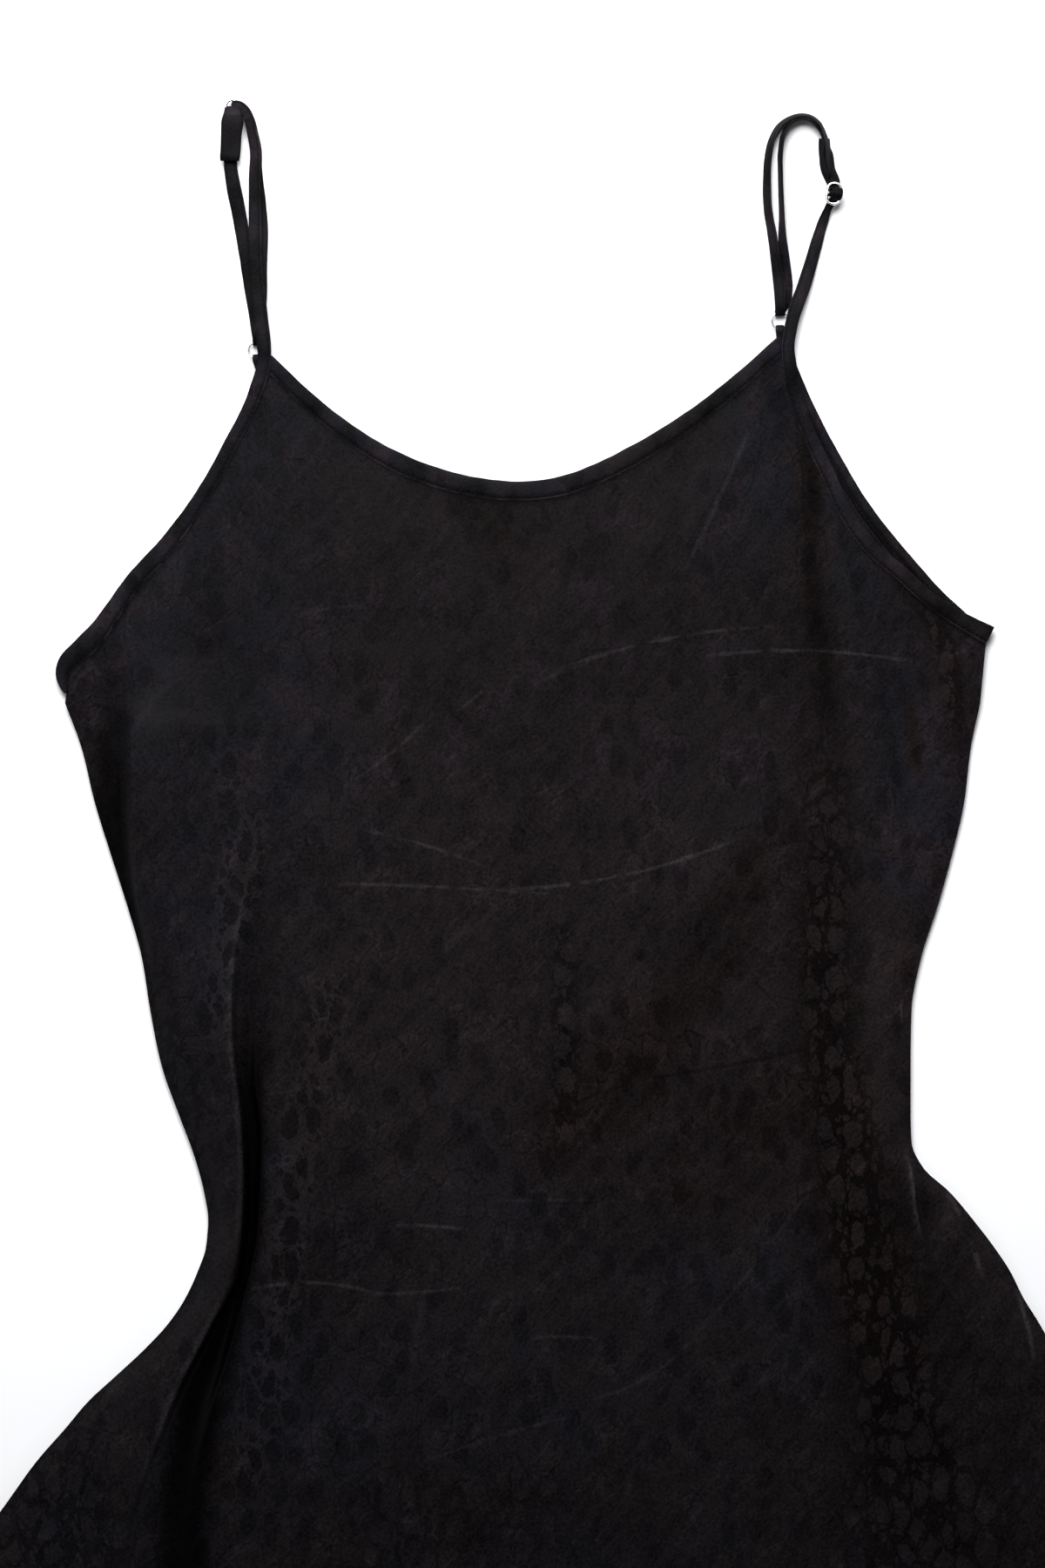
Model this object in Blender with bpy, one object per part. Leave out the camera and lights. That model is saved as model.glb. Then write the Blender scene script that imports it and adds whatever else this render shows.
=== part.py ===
"""Slip dress with adjustable straps, laid flat and face up.

The dress lies in the XY plane, neckline toward +Y, front upward.
The origin is the middle of the dress on the surface it rests on.
Tables give millimetres; every solid is made in metres.
"""

import math
from collections import namedtuple

import bmesh
import bpy
import numpy as np
from mathutils import Vector

MM = 0.001

# Cloth and trim
BACK_WALL = 1.0
FRONT_WALL = 1.2
LAYER_GAP = 0.3
FRONT_LEVEL = 4.4
SIDE_SEAM_LEVEL = 2.6
SIDE_ROLL = 7.0
FRONT_BINDING_THICK = 2.0
BACK_BINDING_THICK = 1.8
SEAM_GAP = 0.3

# Hem
HEM_Y = -554.0
HEM_RISE_AT_SIDES = 30.0
HEM_HALF_WIDTH = 338.0

# Straps and metal
STRAP_WIDTH = 6.0
STRAP_THICK = 1.3
RING_RADIUS = 4.0
RING_WIRE = 1.0
RING_LEVEL = 2.2
SLIDER_LONG = 11.4
SLIDER_ACROSS = 8.0
SLIDER_WIRE = 1.1

# Mesh columns along the left armhole, the neck and the right armhole
FRONT_CUTS = (13, 16, 8)
BACK_CUTS = (8, 14, 8)

Section = namedtuple("Section", "y left right")
Fold = namedtuple("Fold", "y x height left_width right_width")
Edge = namedtuple("Edge", "x y")
Line = namedtuple("Line", "y x")
Station = namedtuple("Station", "x y z across tilt width thick")

# Side seams from the underarm down to the hem, one row per level.
SECTIONS = [
    Section(262, -227, 214.5),
    Section(240, -219, 210),
    Section(215, -213, 207),
    Section(189, -205, 201),
    Section(164, -197, 194),
    Section(139, -190, 186),
    Section(114, -186, 181.5),
    Section(89, -181, 181),
    Section(63, -172, 181),
    Section(50, -167, 181.5),
    Section(38, -163, 187),
    Section(26, -160, 200),
    Section(13, -158, 211),
    Section(0, -159, 221),
    Section(-12, -163, 229),
    Section(-25, -169, 235.5),
    Section(-37, -177, 243),
    Section(-50, -189, 250),
    Section(-63, -203, 256),
    Section(-75, -216, 262),
    Section(-88, -227, 268),
    Section(-104, -241, 274.5),
    Section(-122, -254, 281),
    Section(-142, -268, 286),
    Section(-170, -283, 292),
    Section(-205, -295, 298),
    Section(-256, -304, 303),
    Section(-320, -311, 310),
    Section(-390, -319, 318),
    Section(-460, -327, 326),
]

# Cut edge of the front panel from the left underarm to the left peak.
FRONT_ARMHOLE_LEFT = [
    Edge(-224.7, 279.0),
    Edge(-216.0, 284.5),
    Edge(-209.0, 292.0),
    Edge(-201.0, 304.0),
    Edge(-193.0, 316.5),
    Edge(-177.0, 334.0),
    Edge(-166.0, 348.5),
    Edge(-153.7, 367.5),
    Edge(-145.0, 384.0),
    Edge(-135.2, 403.0),
    Edge(-128.2, 421.5),
]

# Cut edge of the front neckline from the left peak to the right peak.
FRONT_NECK = [
    Edge(-128.2, 421.5),
    Edge(-113.0, 406.1),
    Edge(-97.0, 392.3),
    Edge(-80.6, 380.9),
    Edge(-64.7, 372.1),
    Edge(-48.7, 366.2),
    Edge(-29.4, 361.4),
    Edge(-10.0, 359.6),
    Edge(13.0, 362.0),
    Edge(34.0, 369.6),
    Edge(58.0, 382.8),
    Edge(73.9, 393.1),
    Edge(90.3, 406.1),
    Edge(106.3, 419.8),
    Edge(118.2, 430.4),
]

# Cut edge of the front panel from the right peak to the right underarm.
FRONT_ARMHOLE_RIGHT = [
    Edge(118.2, 430.4),
    Edge(122.2, 409.1),
    Edge(129.4, 389.8),
    Edge(139.0, 369.2),
    Edge(147.8, 350.4),
    Edge(159.2, 334.8),
    Edge(175.6, 320.4),
    Edge(191.0, 306.8),
    Edge(204.1, 298.2),
    Edge(217.1, 290.6),
]

# Free edge of the front neck binding, left to right.
FRONT_NECK_TOP = [
    Edge(-126.4, 428.0),
    Edge(-107.1, 409.9),
    Edge(-94.5, 399.9),
    Edge(-81.9, 391.2),
    Edge(-69.3, 384.2),
    Edge(-56.7, 378.6),
    Edge(-44.1, 374.3),
    Edge(-31.5, 371.2),
    Edge(-18.9, 369.3),
    Edge(-6.3, 368.7),
    Edge(6.3, 369.8),
    Edge(18.9, 373.0),
    Edge(31.5, 378.0),
    Edge(44.1, 384.3),
    Edge(56.7, 391.3),
    Edge(69.3, 399.2),
    Edge(81.9, 408.0),
    Edge(94.5, 418.0),
    Edge(107.1, 428.8),
    Edge(116.6, 437.6),
]

# Free edges of the front armhole bindings, underarm to peak.
FRONT_ARM_FREE_LEFT = [
    Edge(-229.6, 283.6),
    Edge(-221.0, 289.2),
    Edge(-214.0, 296.5),
    Edge(-206.0, 308.5),
    Edge(-197.5, 321.0),
    Edge(-181.5, 338.8),
    Edge(-170.8, 352.5),
    Edge(-158.9, 370.8),
    Edge(-150.4, 386.8),
    Edge(-140.9, 405.2),
    Edge(-134.3, 423.6),
]
FRONT_ARM_FREE_RIGHT = [
    Edge(221.2, 298.4),
    Edge(206.8, 305.4),
    Edge(195.2, 312.4),
    Edge(179.4, 326.4),
    Edge(164.0, 339.8),
    Edge(153.4, 353.8),
    Edge(144.8, 372.2),
    Edge(135.4, 392.2),
    Edge(128.4, 410.8),
    Edge(124.6, 431.4),
]

# Cut edges of the back panel.
BACK_ARMHOLE_LEFT = [
    Edge(-221.0, 278.0),
    Edge(-213.8, 288.0),
    Edge(-204.4, 303.0),
    Edge(-191.0, 318.5),
    Edge(-176.0, 333.0),
    Edge(-164.2, 348.0),
    Edge(-152.0, 366.5),
    Edge(-143.2, 382.5),
    Edge(-134.0, 400.0),
    Edge(-129.2, 411.5),
]
BACK_NECK = [
    Edge(-129.2, 411.5),
    Edge(-112.0, 393.5),
    Edge(-92.0, 375.5),
    Edge(-68.0, 360.0),
    Edge(-40.0, 350.0),
    Edge(-8.0, 346.5),
    Edge(24.0, 351.5),
    Edge(54.0, 366.0),
    Edge(80.0, 385.5),
    Edge(103.0, 408.0),
    Edge(119.0, 425.5),
]
BACK_ARMHOLE_RIGHT = [
    Edge(119.0, 425.5),
    Edge(129.2, 402.5),
    Edge(142.2, 377.8),
    Edge(155.7, 355.4),
    Edge(167.2, 340.2),
    Edge(179.8, 325.4),
    Edge(190.0, 313.8),
    Edge(202.5, 302.0),
    Edge(214.5, 291.0),
]

# Folds of the front: where each crest runs, how high, how wide each side.
LEFT_LAP = [
    Fold(284, -168, 0.0, 20, 40),
    Fold(271, -175, 0.8, 14, 44),
    Fold(259, -188, 2.2, 8, 50),
    Fold(250, -193, 3.6, 4, 58),
    Fold(231, -195, 4.4, 2.6, 60),
    Fold(202, -194, 4.8, 2.4, 60),
    Fold(177, -192.5, 4.6, 2.4, 56),
    Fold(150, -188.5, 3.8, 3.0, 48),
    Fold(114, -182, 2.6, 4.0, 36),
    Fold(70, -170, 1.4, 5.0, 24),
    Fold(40, -158, 0.0, 6.0, 20),
]
GULLY_LIP = [
    Fold(212, -134, 0.0, 30, 20),
    Fold(180, -139, 0.9, 30, 14),
    Fold(160, -143, 1.8, 30, 8),
    Fold(139, -146, 3.2, 28, 4),
    Fold(110, -147, 4.8, 26, 2.8),
    Fold(89, -146, 5.8, 25, 2.4),
    Fold(68, -143, 6.4, 23, 2.2),
    Fold(34, -141, 6.8, 19, 2.2),
    Fold(-8, -143, 7.2, 16, 2.2),
    Fold(-39, -152, 7.2, 18, 2.2),
    Fold(-68, -169, 6.8, 22, 2.4),
    Fold(-94, -183, 5.6, 26, 2.8),
    Fold(-123, -194, 4.6, 30, 3.4),
    Fold(-150, -201, 3.8, 32, 4.5),
    Fold(-205, -212, 2.6, 34, 8),
    Fold(-302, -225, 1.6, 36, 20),
    Fold(-420, -233, 0.0, 36, 30),
]
GULLY_BANK = [
    Fold(170, -132, 0.0, 10, 20),
    Fold(140, -132, 1.2, 7, 24),
    Fold(110, -133, 2.4, 4, 28),
    Fold(80, -134, 3.6, 2.8, 32),
    Fold(55, -131, 4.4, 2.4, 34),
    Fold(9, -133, 4.6, 2.4, 34),
    Fold(-21, -139, 4.6, 2.4, 30),
    Fold(-54, -148, 3.8, 2.8, 28),
    Fold(-88, -158, 2.4, 4.5, 26),
    Fold(-150, -168, 1.0, 8, 24),
    Fold(-220, -175, 0.0, 10, 24),
]
LEFT_RIDGE = [
    Fold(140, -108, 0.0, 14, 14),
    Fold(110, -110, 0.8, 13, 14),
    Fold(42, -118, 1.4, 12, 16),
    Fold(-21, -126, 1.4, 11, 18),
    Fold(-92, -141, 0.8, 11, 20),
    Fold(-160, -152, 0.0, 12, 22),
]
RIGHT_VALLEY = [
    Fold(418, 124, 0.0, 10, 8),
    Fold(396, 130, -0.8, 12, 9),
    Fold(350, 132, -1.4, 14, 12),
    Fold(307, 134, -1.8, 15, 14),
    Fold(265, 139, -2.0, 15, 15),
    Fold(223, 143, -2.0, 15, 15),
    Fold(139, 141, -2.0, 15, 14),
    Fold(97, 143, -2.4, 15, 14),
    Fold(55, 147, -2.8, 15, 14),
    Fold(13, 155, -2.8, 16, 13),
    Fold(-21, 162, -2.8, 16, 13),
    Fold(-54, 168, -2.4, 16, 14),
    Fold(-90, 175, -1.6, 18, 16),
    Fold(-150, 186, -1.2, 20, 20),
    Fold(-260, 198, 0.0, 24, 24),
]
RIGHT_LAP = [
    Fold(150, 184, 0.0, 20, 5),
    Fold(110, 177.5, 2.2, 22, 4),
    Fold(68, 177.5, 4.0, 24, 3),
    Fold(50, 178.5, 4.8, 26, 2.4),
    Fold(34, 181, 5.2, 28, 2.2),
    Fold(19, 182.5, 4.8, 28, 2.2),
    Fold(7, 185, 3.8, 27, 2.8),
    Fold(-10, 190, 2.4, 26, 5),
    Fold(-35, 196, 1.0, 24, 9),
    Fold(-62, 202, 0.0, 24, 12),
]
HIP_RIDGE = [
    Fold(44, 186, 0.0, 6, 3),
    Fold(32, 193, 1.2, 8, 3.5),
    Fold(20, 203, 1.6, 9, 4),
    Fold(5, 209, 1.6, 9, 4),
    Fold(-14, 213, 0.8, 9, 5),
    Fold(-30, 215, 0.0, 9, 6),
]
SKIRT_FOLD_LEFT = [
    Fold(-110, -92, 0.0, 26, 26),
    Fold(-190, -96, 1.8, 26, 24),
    Fold(-320, -104, 3.0, 28, 22),
    Fold(-450, -112, 3.8, 30, 24),
    Fold(-560, -118, 4.2, 32, 26),
]
SKIRT_FOLD_MIDDLE = [
    Fold(-170, 36, 0.0, 30, 26),
    Fold(-280, 40, 1.6, 30, 24),
    Fold(-420, 46, 2.8, 30, 22),
    Fold(-560, 52, 3.6, 30, 24),
]
SKIRT_FOLD_RIGHT = [
    Fold(-230, 238, 0.0, 26, 28),
    Fold(-340, 236, 1.8, 26, 26),
    Fold(-450, 240, 3.0, 26, 26),
    Fold(-560, 246, 3.4, 28, 26),
]
FRONT_FOLDS = [
    LEFT_LAP,
    GULLY_LIP,
    GULLY_BANK,
    LEFT_RIDGE,
    RIGHT_VALLEY,
    RIGHT_LAP,
    HIP_RIDGE,
    SKIRT_FOLD_LEFT,
    SKIRT_FOLD_MIDDLE,
    SKIRT_FOLD_RIGHT,
]

# Lines that the front's mesh columns follow, beside the seams.
LAP_LINE = [
    Line(262, -186),
    Line(245, -194),
    Line(202, -194),
    Line(177, -192),
    Line(150, -187.5),
    Line(114, -182),
    Line(70, -169.5),
    Line(38, -158.5),
    Line(0, -155),
    Line(-25, -163.5),
    Line(-50, -180),
    Line(-75, -203),
    Line(-104, -224),
    Line(-142, -246),
    Line(-205, -268),
    Line(-320, -285),
    Line(-460, -298),
]
RIGHT_LAP_LINE = [
    Line(262, 190),
    Line(215, 190),
    Line(164, 184),
    Line(114, 177.5),
    Line(68, 177.5),
    Line(50, 178.5),
    Line(34, 181),
    Line(19, 182.5),
    Line(7, 185),
    Line(-10, 190),
    Line(-35, 197),
    Line(-80, 212),
    Line(-150, 226),
    Line(-320, 246),
    Line(-460, 258),
]


def steady(xs, ys, at):
    """Interpolate a table smoothly without overshooting its rows."""
    order = np.argsort(xs)
    xs = np.asarray(xs, float)[order]
    ys = np.asarray(ys, float)[order]
    at = np.clip(np.asarray(at, float), xs[0], xs[-1])
    run = np.diff(xs)
    rise = np.diff(ys) / run
    slope = np.zeros(len(xs))
    slope[0], slope[-1] = rise[0], rise[-1]
    for k in range(1, len(xs) - 1):
        if rise[k - 1] * rise[k] > 0:
            slope[k] = 2 / (1 / rise[k - 1] + 1 / rise[k])
    k = np.clip(np.searchsorted(xs, at) - 1, 0, len(run) - 1)
    t = (at - xs[k]) / run[k]
    a = ys[k] * (1 + 2 * t) * (1 - t) ** 2
    b = run[k] * slope[k] * t * (1 - t) ** 2
    c = ys[k + 1] * t**2 * (3 - 2 * t)
    d = run[k] * slope[k + 1] * t**2 * (t - 1)
    return a + b + c + d


def table(rows, column, against, at):
    """One column of a table, read at other heights."""
    keys = [getattr(row, against) for row in rows]
    values = [getattr(row, column) for row in rows]
    return steady(keys, values, at)


def curve_through(points, count):
    """Evenly spaced points on a smooth curve through the given ones."""
    points = np.asarray(points, float)
    step = np.linalg.norm(np.diff(points, axis=0), axis=1)
    length = np.concatenate([[0], np.cumsum(step)])
    fine = np.linspace(0, length[-1], 400)
    smooth = np.stack([catmull(length, points[:, k], fine) for k in range(points.shape[1])], 1)
    step = np.linalg.norm(np.diff(smooth, axis=0), axis=1)
    run = np.concatenate([[0], np.cumsum(step)])
    even = np.linspace(0, run[-1], count)
    return np.stack([np.interp(even, run, smooth[:, k]) for k in range(points.shape[1])], 1)


def catmull(keys, values, at):
    """Cubic curve through values, with slopes taken from the neighbours."""
    slope = np.gradient(values, keys)
    k = np.clip(np.searchsorted(keys, at) - 1, 0, len(keys) - 2)
    run = keys[k + 1] - keys[k]
    t = (at - keys[k]) / run
    a = values[k] * (1 + 2 * t) * (1 - t) ** 2
    b = run * slope[k] * t * (1 - t) ** 2
    c = values[k + 1] * t**2 * (3 - 2 * t)
    d = run * slope[k + 1] * t**2 * (t - 1)
    return a + b + c + d


def fold_height(rows, x, y):
    """Height that one fold adds, soft on its wide side and steep on its narrow one."""
    crest = table(rows, "x", "y", y)
    height = table(rows, "height", "y", y)
    left = table(rows, "left_width", "y", y)
    right = table(rows, "right_width", "y", y)
    aside = x - crest
    width = np.where(aside < 0, left, right)
    return height * np.exp(-((aside / width) ** 2))


def front_height(x, y):
    """Upper surface of the front panel above the floor."""
    left = table(SECTIONS, "left", "y", y)
    right = table(SECTIONS, "right", "y", y)
    inside = np.minimum(x - left, right - x)
    roll = np.exp(-((np.maximum(inside, 0) / SIDE_ROLL) ** 2))
    fade = np.clip((286 - y) / 40, 0, 1)
    level = FRONT_LEVEL - (FRONT_LEVEL - SIDE_SEAM_LEVEL) * roll * fade
    for rows in FRONT_FOLDS:
        level = level + fold_height(rows, x, y) * (1 - roll * fade * 0.9)
    for peak in (FRONT_NECK[0], FRONT_NECK[-1]):
        away = np.hypot(x - peak.x, y - peak.y)
        level = level + 1.4 * np.exp(-((away / 16) ** 2))
    return np.maximum(level, SIDE_SEAM_LEVEL)


def hem_y(x):
    """Hem line: a shallow curve that rises to the side seams."""
    return HEM_Y + HEM_RISE_AT_SIDES * (np.asarray(x, float) / HEM_HALF_WIDTH) ** 2


def spread_columns(knots, counts):
    """Turn knot positions into mesh columns, evenly between neighbours."""
    out = []
    for a, b, count in zip(knots, knots[1:], counts):
        for k in range(count):
            out.append(a + (b - a) * k / count)
    out.append(knots[-1])
    return out


def top_points(paths, counts):
    """Points along the top edge, each part of it cut into its own count."""
    out = []
    for path, count in zip(paths, counts):
        part = curve_through([(p.x, p.y) for p in path], count + 1)
        out.extend(part[:-1])
    out.append(part[-1])
    return np.array(out)


def panel_grid(knot_lines, counts, top, upper_rows, levels):
    """Grid of x, y points: rows from the top edge down to the hem."""
    rows = []
    for y in levels:
        rows.append([(x, y) for x in spread_columns([line(y) for line in knot_lines], counts)])
    lower = np.array(rows)
    first = lower[0]
    upper = [top + (first - top) * k / upper_rows for k in range(upper_rows)]
    last = lower[-1].copy()
    grow = HEM_HALF_WIDTH / abs(last[0, 0])
    foot = np.stack([last[:, 0] * grow, hem_y(last[:, 0] * grow)], 1)
    end = [last + (foot - last) * k / 3 for k in (1, 2, 3)]
    return np.concatenate([np.array(upper), lower, np.array(end)])


def front_grid():
    """Columns of the front run along its seams and its main folds."""
    lines = [
        lambda y: table(SECTIONS, "left", "y", y),
        lambda y: table(LAP_LINE, "x", "y", y),
        lambda y: table(GULLY_LIP, "x", "y", y),
        lambda y: table(GULLY_LIP, "x", "y", y) + 3.0,
        lambda y: table(GULLY_BANK, "x", "y", y) - 3.0 if y < 120 else table(GULLY_LIP, "x", "y", y) + 7.0,
        lambda y: table(GULLY_BANK, "x", "y", y) if y < 120 else table(GULLY_LIP, "x", "y", y) + 10.5,
        lambda y: table(LEFT_RIDGE, "x", "y", y),
        lambda y: table(RIGHT_VALLEY, "x", "y", y),
        lambda y: table(RIGHT_LAP_LINE, "x", "y", y),
        lambda y: table(RIGHT_LAP_LINE, "x", "y", y) + 2.6,
        lambda y: table(SECTIONS, "right", "y", y),
    ]
    counts = [2, 4, 2, 1, 2, 2, FRONT_CUTS[1], 4, 1, 3]
    paths = [FRONT_ARMHOLE_LEFT, FRONT_NECK, FRONT_ARMHOLE_RIGHT]
    top = top_points(paths, FRONT_CUTS)
    return panel_grid(lines, counts, top, 8, [s.y for s in SECTIONS])


def back_grid():
    """Columns of the back run straight between its seams and peaks."""
    inset = 0.8
    lines = [
        lambda y: table(SECTIONS, "left", "y", y) + inset,
        lambda y: -110 if y > 0 else -110 + y * 0.15,
        lambda y: 112 if y > 0 else 112 - y * 0.15,
        lambda y: table(SECTIONS, "right", "y", y) - inset,
    ]
    paths = [BACK_ARMHOLE_LEFT, BACK_NECK, BACK_ARMHOLE_RIGHT]
    top = top_points(paths, BACK_CUTS)
    levels = [s.y for s in SECTIONS[::2]] + [SECTIONS[-1].y]
    return panel_grid(lines, BACK_CUTS, top, 6, levels)


def clear_scene():
    """Remove everything that the scene starts with."""
    for item in list(bpy.data.objects):
        bpy.data.objects.remove(item, do_unlink=True)


def material(name, colour, metallic, roughness):
    """A plain Principled material."""
    made = bpy.data.materials.new(name)
    made.use_nodes = True
    shader = made.node_tree.nodes["Principled BSDF"]
    shader.inputs["Base Color"].default_value = (*colour, 1.0)
    shader.inputs["Metallic"].default_value = metallic
    shader.inputs["Roughness"].default_value = roughness
    return made


def add_object(name, mesh, collection, finish):
    """Put a finished mesh in the dress's collection with its own material."""
    item = bpy.data.objects.new(name, mesh)
    collection.objects.link(item)
    mesh.materials.append(material(name + "_finish", *finish))
    return item


def mesh_of(name, points, faces):
    """A mesh from points in millimetres, with its faces turned outward."""
    mesh = bpy.data.meshes.new(name)
    mesh.from_pydata([tuple(c * MM for c in p) for p in points], [], faces)
    work = bmesh.new()
    work.from_mesh(mesh)
    bmesh.ops.recalc_face_normals(work, faces=work.faces)
    work.to_mesh(mesh)
    work.free()
    return mesh


def shell(upper, lower):
    """Points and faces of a closed wall between two equal grids."""
    rows, columns = upper.shape[:2]
    points = list(upper.reshape(-1, 3)) + list(lower.reshape(-1, 3))
    half = rows * columns
    faces = []
    for r in range(rows - 1):
        for c in range(columns - 1):
            a = r * columns + c
            b, d, e = a + 1, a + columns, a + columns + 1
            faces.append((a, b, e, d))
            faces.append((half + a, half + d, half + e, half + b))
    rim = [c for c in range(columns)]
    rim += [r * columns + columns - 1 for r in range(1, rows)]
    rim += [(rows - 1) * columns + c for c in range(columns - 2, -1, -1)]
    rim += [r * columns for r in range(rows - 2, 0, -1)]
    for a, b in zip(rim, rim[1:] + rim[:1]):
        faces.append((a, half + a, half + b, b))
    return points, faces


def grid_normals(grid):
    """Upward normals of a grid of points."""
    down = np.gradient(grid, axis=0)
    across = np.gradient(grid, axis=1)
    normal = np.cross(down, across)
    normal /= np.linalg.norm(normal, axis=2, keepdims=True)
    normal[normal[..., 2] < 0] *= -1
    return normal


def make_front(collection, finish):
    """Front panel: folded upper surface and the wall under it."""
    flat = front_grid()
    height = front_height(flat[..., 0], flat[..., 1])
    upper = np.dstack([flat, height])
    lower = upper - FRONT_WALL * grid_normals(upper)
    lower[..., 2] = np.maximum(lower[..., 2], BACK_WALL + LAYER_GAP)
    lower[0, :, :2] = upper[0, :, :2]
    lower[-1, :, :2] = upper[-1, :, :2]
    lower[:, 0, :2] = upper[:, 0, :2]
    lower[:, -1, :2] = upper[:, -1, :2]
    points, faces = shell(upper, lower)
    return add_object("front_panel", mesh_of("front_panel", points, faces), collection, finish)


def make_back(collection, finish):
    """Back panel: an even wall, flat on the floor."""
    flat = back_grid()
    upper = np.dstack([flat, np.full(flat.shape[:2], BACK_WALL)])
    lower = np.dstack([flat, np.zeros(flat.shape[:2])])
    points, faces = shell(upper, lower)
    return add_object("back_panel", mesh_of("back_panel", points, faces), collection, finish)


def tube_mesh(name, rings, closed):
    """Skin over rings of points, with flat ends unless it closes on itself."""
    count, sides = len(rings), len(rings[0])
    points = [p for ring in rings for p in ring]
    faces = []
    last = count if closed else count - 1
    for k in range(last):
        for s in range(sides):
            a, b = k * sides + s, k * sides + (s + 1) % sides
            m = (k + 1) % count * sides
            faces.append((a, b, m + (s + 1) % sides, m + s))
    if not closed:
        faces.append(tuple(range(sides)))
        faces.append(tuple((count - 1) * sides + s for s in range(sides - 1, -1, -1)))
    return mesh_of(name, points, faces)


def band_ring(centre, across, up, width, thick):
    """Rounded flat section of a band, eight points."""
    shape = [
        (-0.5, -0.26),
        (-0.34, -0.5),
        (0.34, -0.5),
        (0.5, -0.26),
        (0.5, 0.26),
        (0.34, 0.5),
        (-0.34, 0.5),
        (-0.5, 0.26),
    ]
    return [centre + across * (a * width) + up * (b * thick) for a, b in shape]


def make_binding(name, cut_edge, free_edge, level, thick, count, collection, finish):
    """Binding strip between a panel's cut edge and its own free edge."""
    inner = curve_through([(p.x, p.y) for p in cut_edge], count + 1)
    outer = curve_through([(p.x, p.y) for p in free_edge], count + 1)
    rings = []
    for a, b in zip(inner, outer):
        step = (b - a) / np.linalg.norm(b - a)
        a = a + step * SEAM_GAP
        height = level(a[0], a[1])
        centre = np.array([*((a + b) / 2), height])
        across = np.array([*step, 0.0])
        wide = np.linalg.norm(b - a)
        rings.append(band_ring(centre, across, np.array([0, 0, 1.0]), wide, thick))
    return add_object(name, tube_mesh(name, rings, False), collection, finish)


def offset_edge(edge, distance):
    """An edge moved sideways, to the left of its own direction."""
    points = np.array([(p.x, p.y) for p in edge])
    run = np.gradient(points, axis=0)
    run /= np.linalg.norm(run, axis=1, keepdims=True)
    moved = points + distance * np.stack([-run[:, 1], run[:, 0]], 1)
    return [Edge(*p) for p in moved]


def front_binding_level(x, y):
    """Middle of a front binding's thickness."""
    return float(front_height(np.array(x), np.array(y))) - FRONT_WALL / 2


def back_binding_level(x, y):
    """Middle of a back binding's thickness, flat on the floor."""
    return BACK_BINDING_THICK / 2


def make_bindings(collection, finish):
    """Six bias strips round the neck and armholes."""
    front = (front_binding_level, FRONT_BINDING_THICK)
    back = (back_binding_level, BACK_BINDING_THICK)
    neck_free = offset_edge(BACK_NECK, 6.4)
    make_binding("front_neck_binding", FRONT_NECK, FRONT_NECK_TOP, *front, FRONT_CUTS[1], collection, finish)
    make_binding(
        "front_armhole_binding_left", FRONT_ARMHOLE_LEFT, FRONT_ARM_FREE_LEFT, *front, FRONT_CUTS[0], collection, finish
    )
    make_binding(
        "front_armhole_binding_right",
        FRONT_ARMHOLE_RIGHT[::-1],
        FRONT_ARM_FREE_RIGHT,
        *front,
        FRONT_CUTS[2],
        collection,
        finish,
    )
    left_free = offset_edge(BACK_ARMHOLE_LEFT, 6.0)
    right_free = offset_edge(BACK_ARMHOLE_RIGHT, 6.0)
    neck_free[0] = Edge(-127.4, 418.0)
    neck_free[-1] = Edge(117.4, 432.2)
    left_free[-1] = Edge(-134.6, 414.6)
    right_free[0] = Edge(124.8, 427.6)
    make_binding("back_neck_binding", BACK_NECK, neck_free, *back, BACK_CUTS[1], collection, finish)
    make_binding(
        "back_armhole_binding_left", BACK_ARMHOLE_LEFT, left_free, *back, BACK_CUTS[0], collection, finish
    )
    make_binding(
        "back_armhole_binding_right", BACK_ARMHOLE_RIGHT, right_free, *back, BACK_CUTS[0], collection, finish
    )


def band_rings(stations, count):
    """Sections of a band that turns and twists through its stations."""
    rows = []
    for s in stations:
        az, tilt = math.radians(s.across), math.radians(s.tilt)
        flat = math.cos(tilt)
        across = (flat * math.cos(az), flat * math.sin(az), math.sin(tilt))
        rows.append((s.x, s.y, s.z, *across, s.width, s.thick))
    rows = np.array(rows)
    step = np.linalg.norm(np.diff(rows[:, :3], axis=0), axis=1)
    keys = np.concatenate([[0], np.cumsum(step)])
    weight = np.sqrt(step)
    share = np.concatenate([[0], np.cumsum(weight)])
    at = np.interp(np.linspace(0, share[-1], count), share, keys)
    fine = np.stack([catmull(keys, rows[:, k], at) for k in range(8)], 1)
    spot = fine[:, :3]
    run = np.gradient(spot, axis=0)
    run /= np.linalg.norm(run, axis=1, keepdims=True)
    across = fine[:, 3:6]
    across -= run * np.sum(across * run, axis=1, keepdims=True)
    across /= np.linalg.norm(across, axis=1, keepdims=True)
    up = np.cross(run, across)
    return [band_ring(p, a, u, f[6], f[7]) for p, a, u, f in zip(spot, across, up, fine)]


def make_band(name, stations, count, collection, finish):
    """A flat bias tube swept through its stations."""
    return add_object(name, tube_mesh(name, band_rings(stations, count), False), collection, finish)


def ring_mesh(name, centre, radius, wire):
    """A round wire ring lying level."""
    rings = []
    for k in range(24):
        angle = 2 * math.pi * k / 24
        out = np.array([math.cos(angle), math.sin(angle), 0.0])
        spot = np.array(centre) + out * radius
        section = []
        for s in range(8):
            turn = 2 * math.pi * s / 8
            section.append(spot + out * math.cos(turn) * wire / 2 + np.array([0, 0, math.sin(turn) * wire / 2]))
        rings.append(section)
    return tube_mesh(name, rings, True)


Frame = namedtuple("Frame", "centre along across up")


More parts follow.
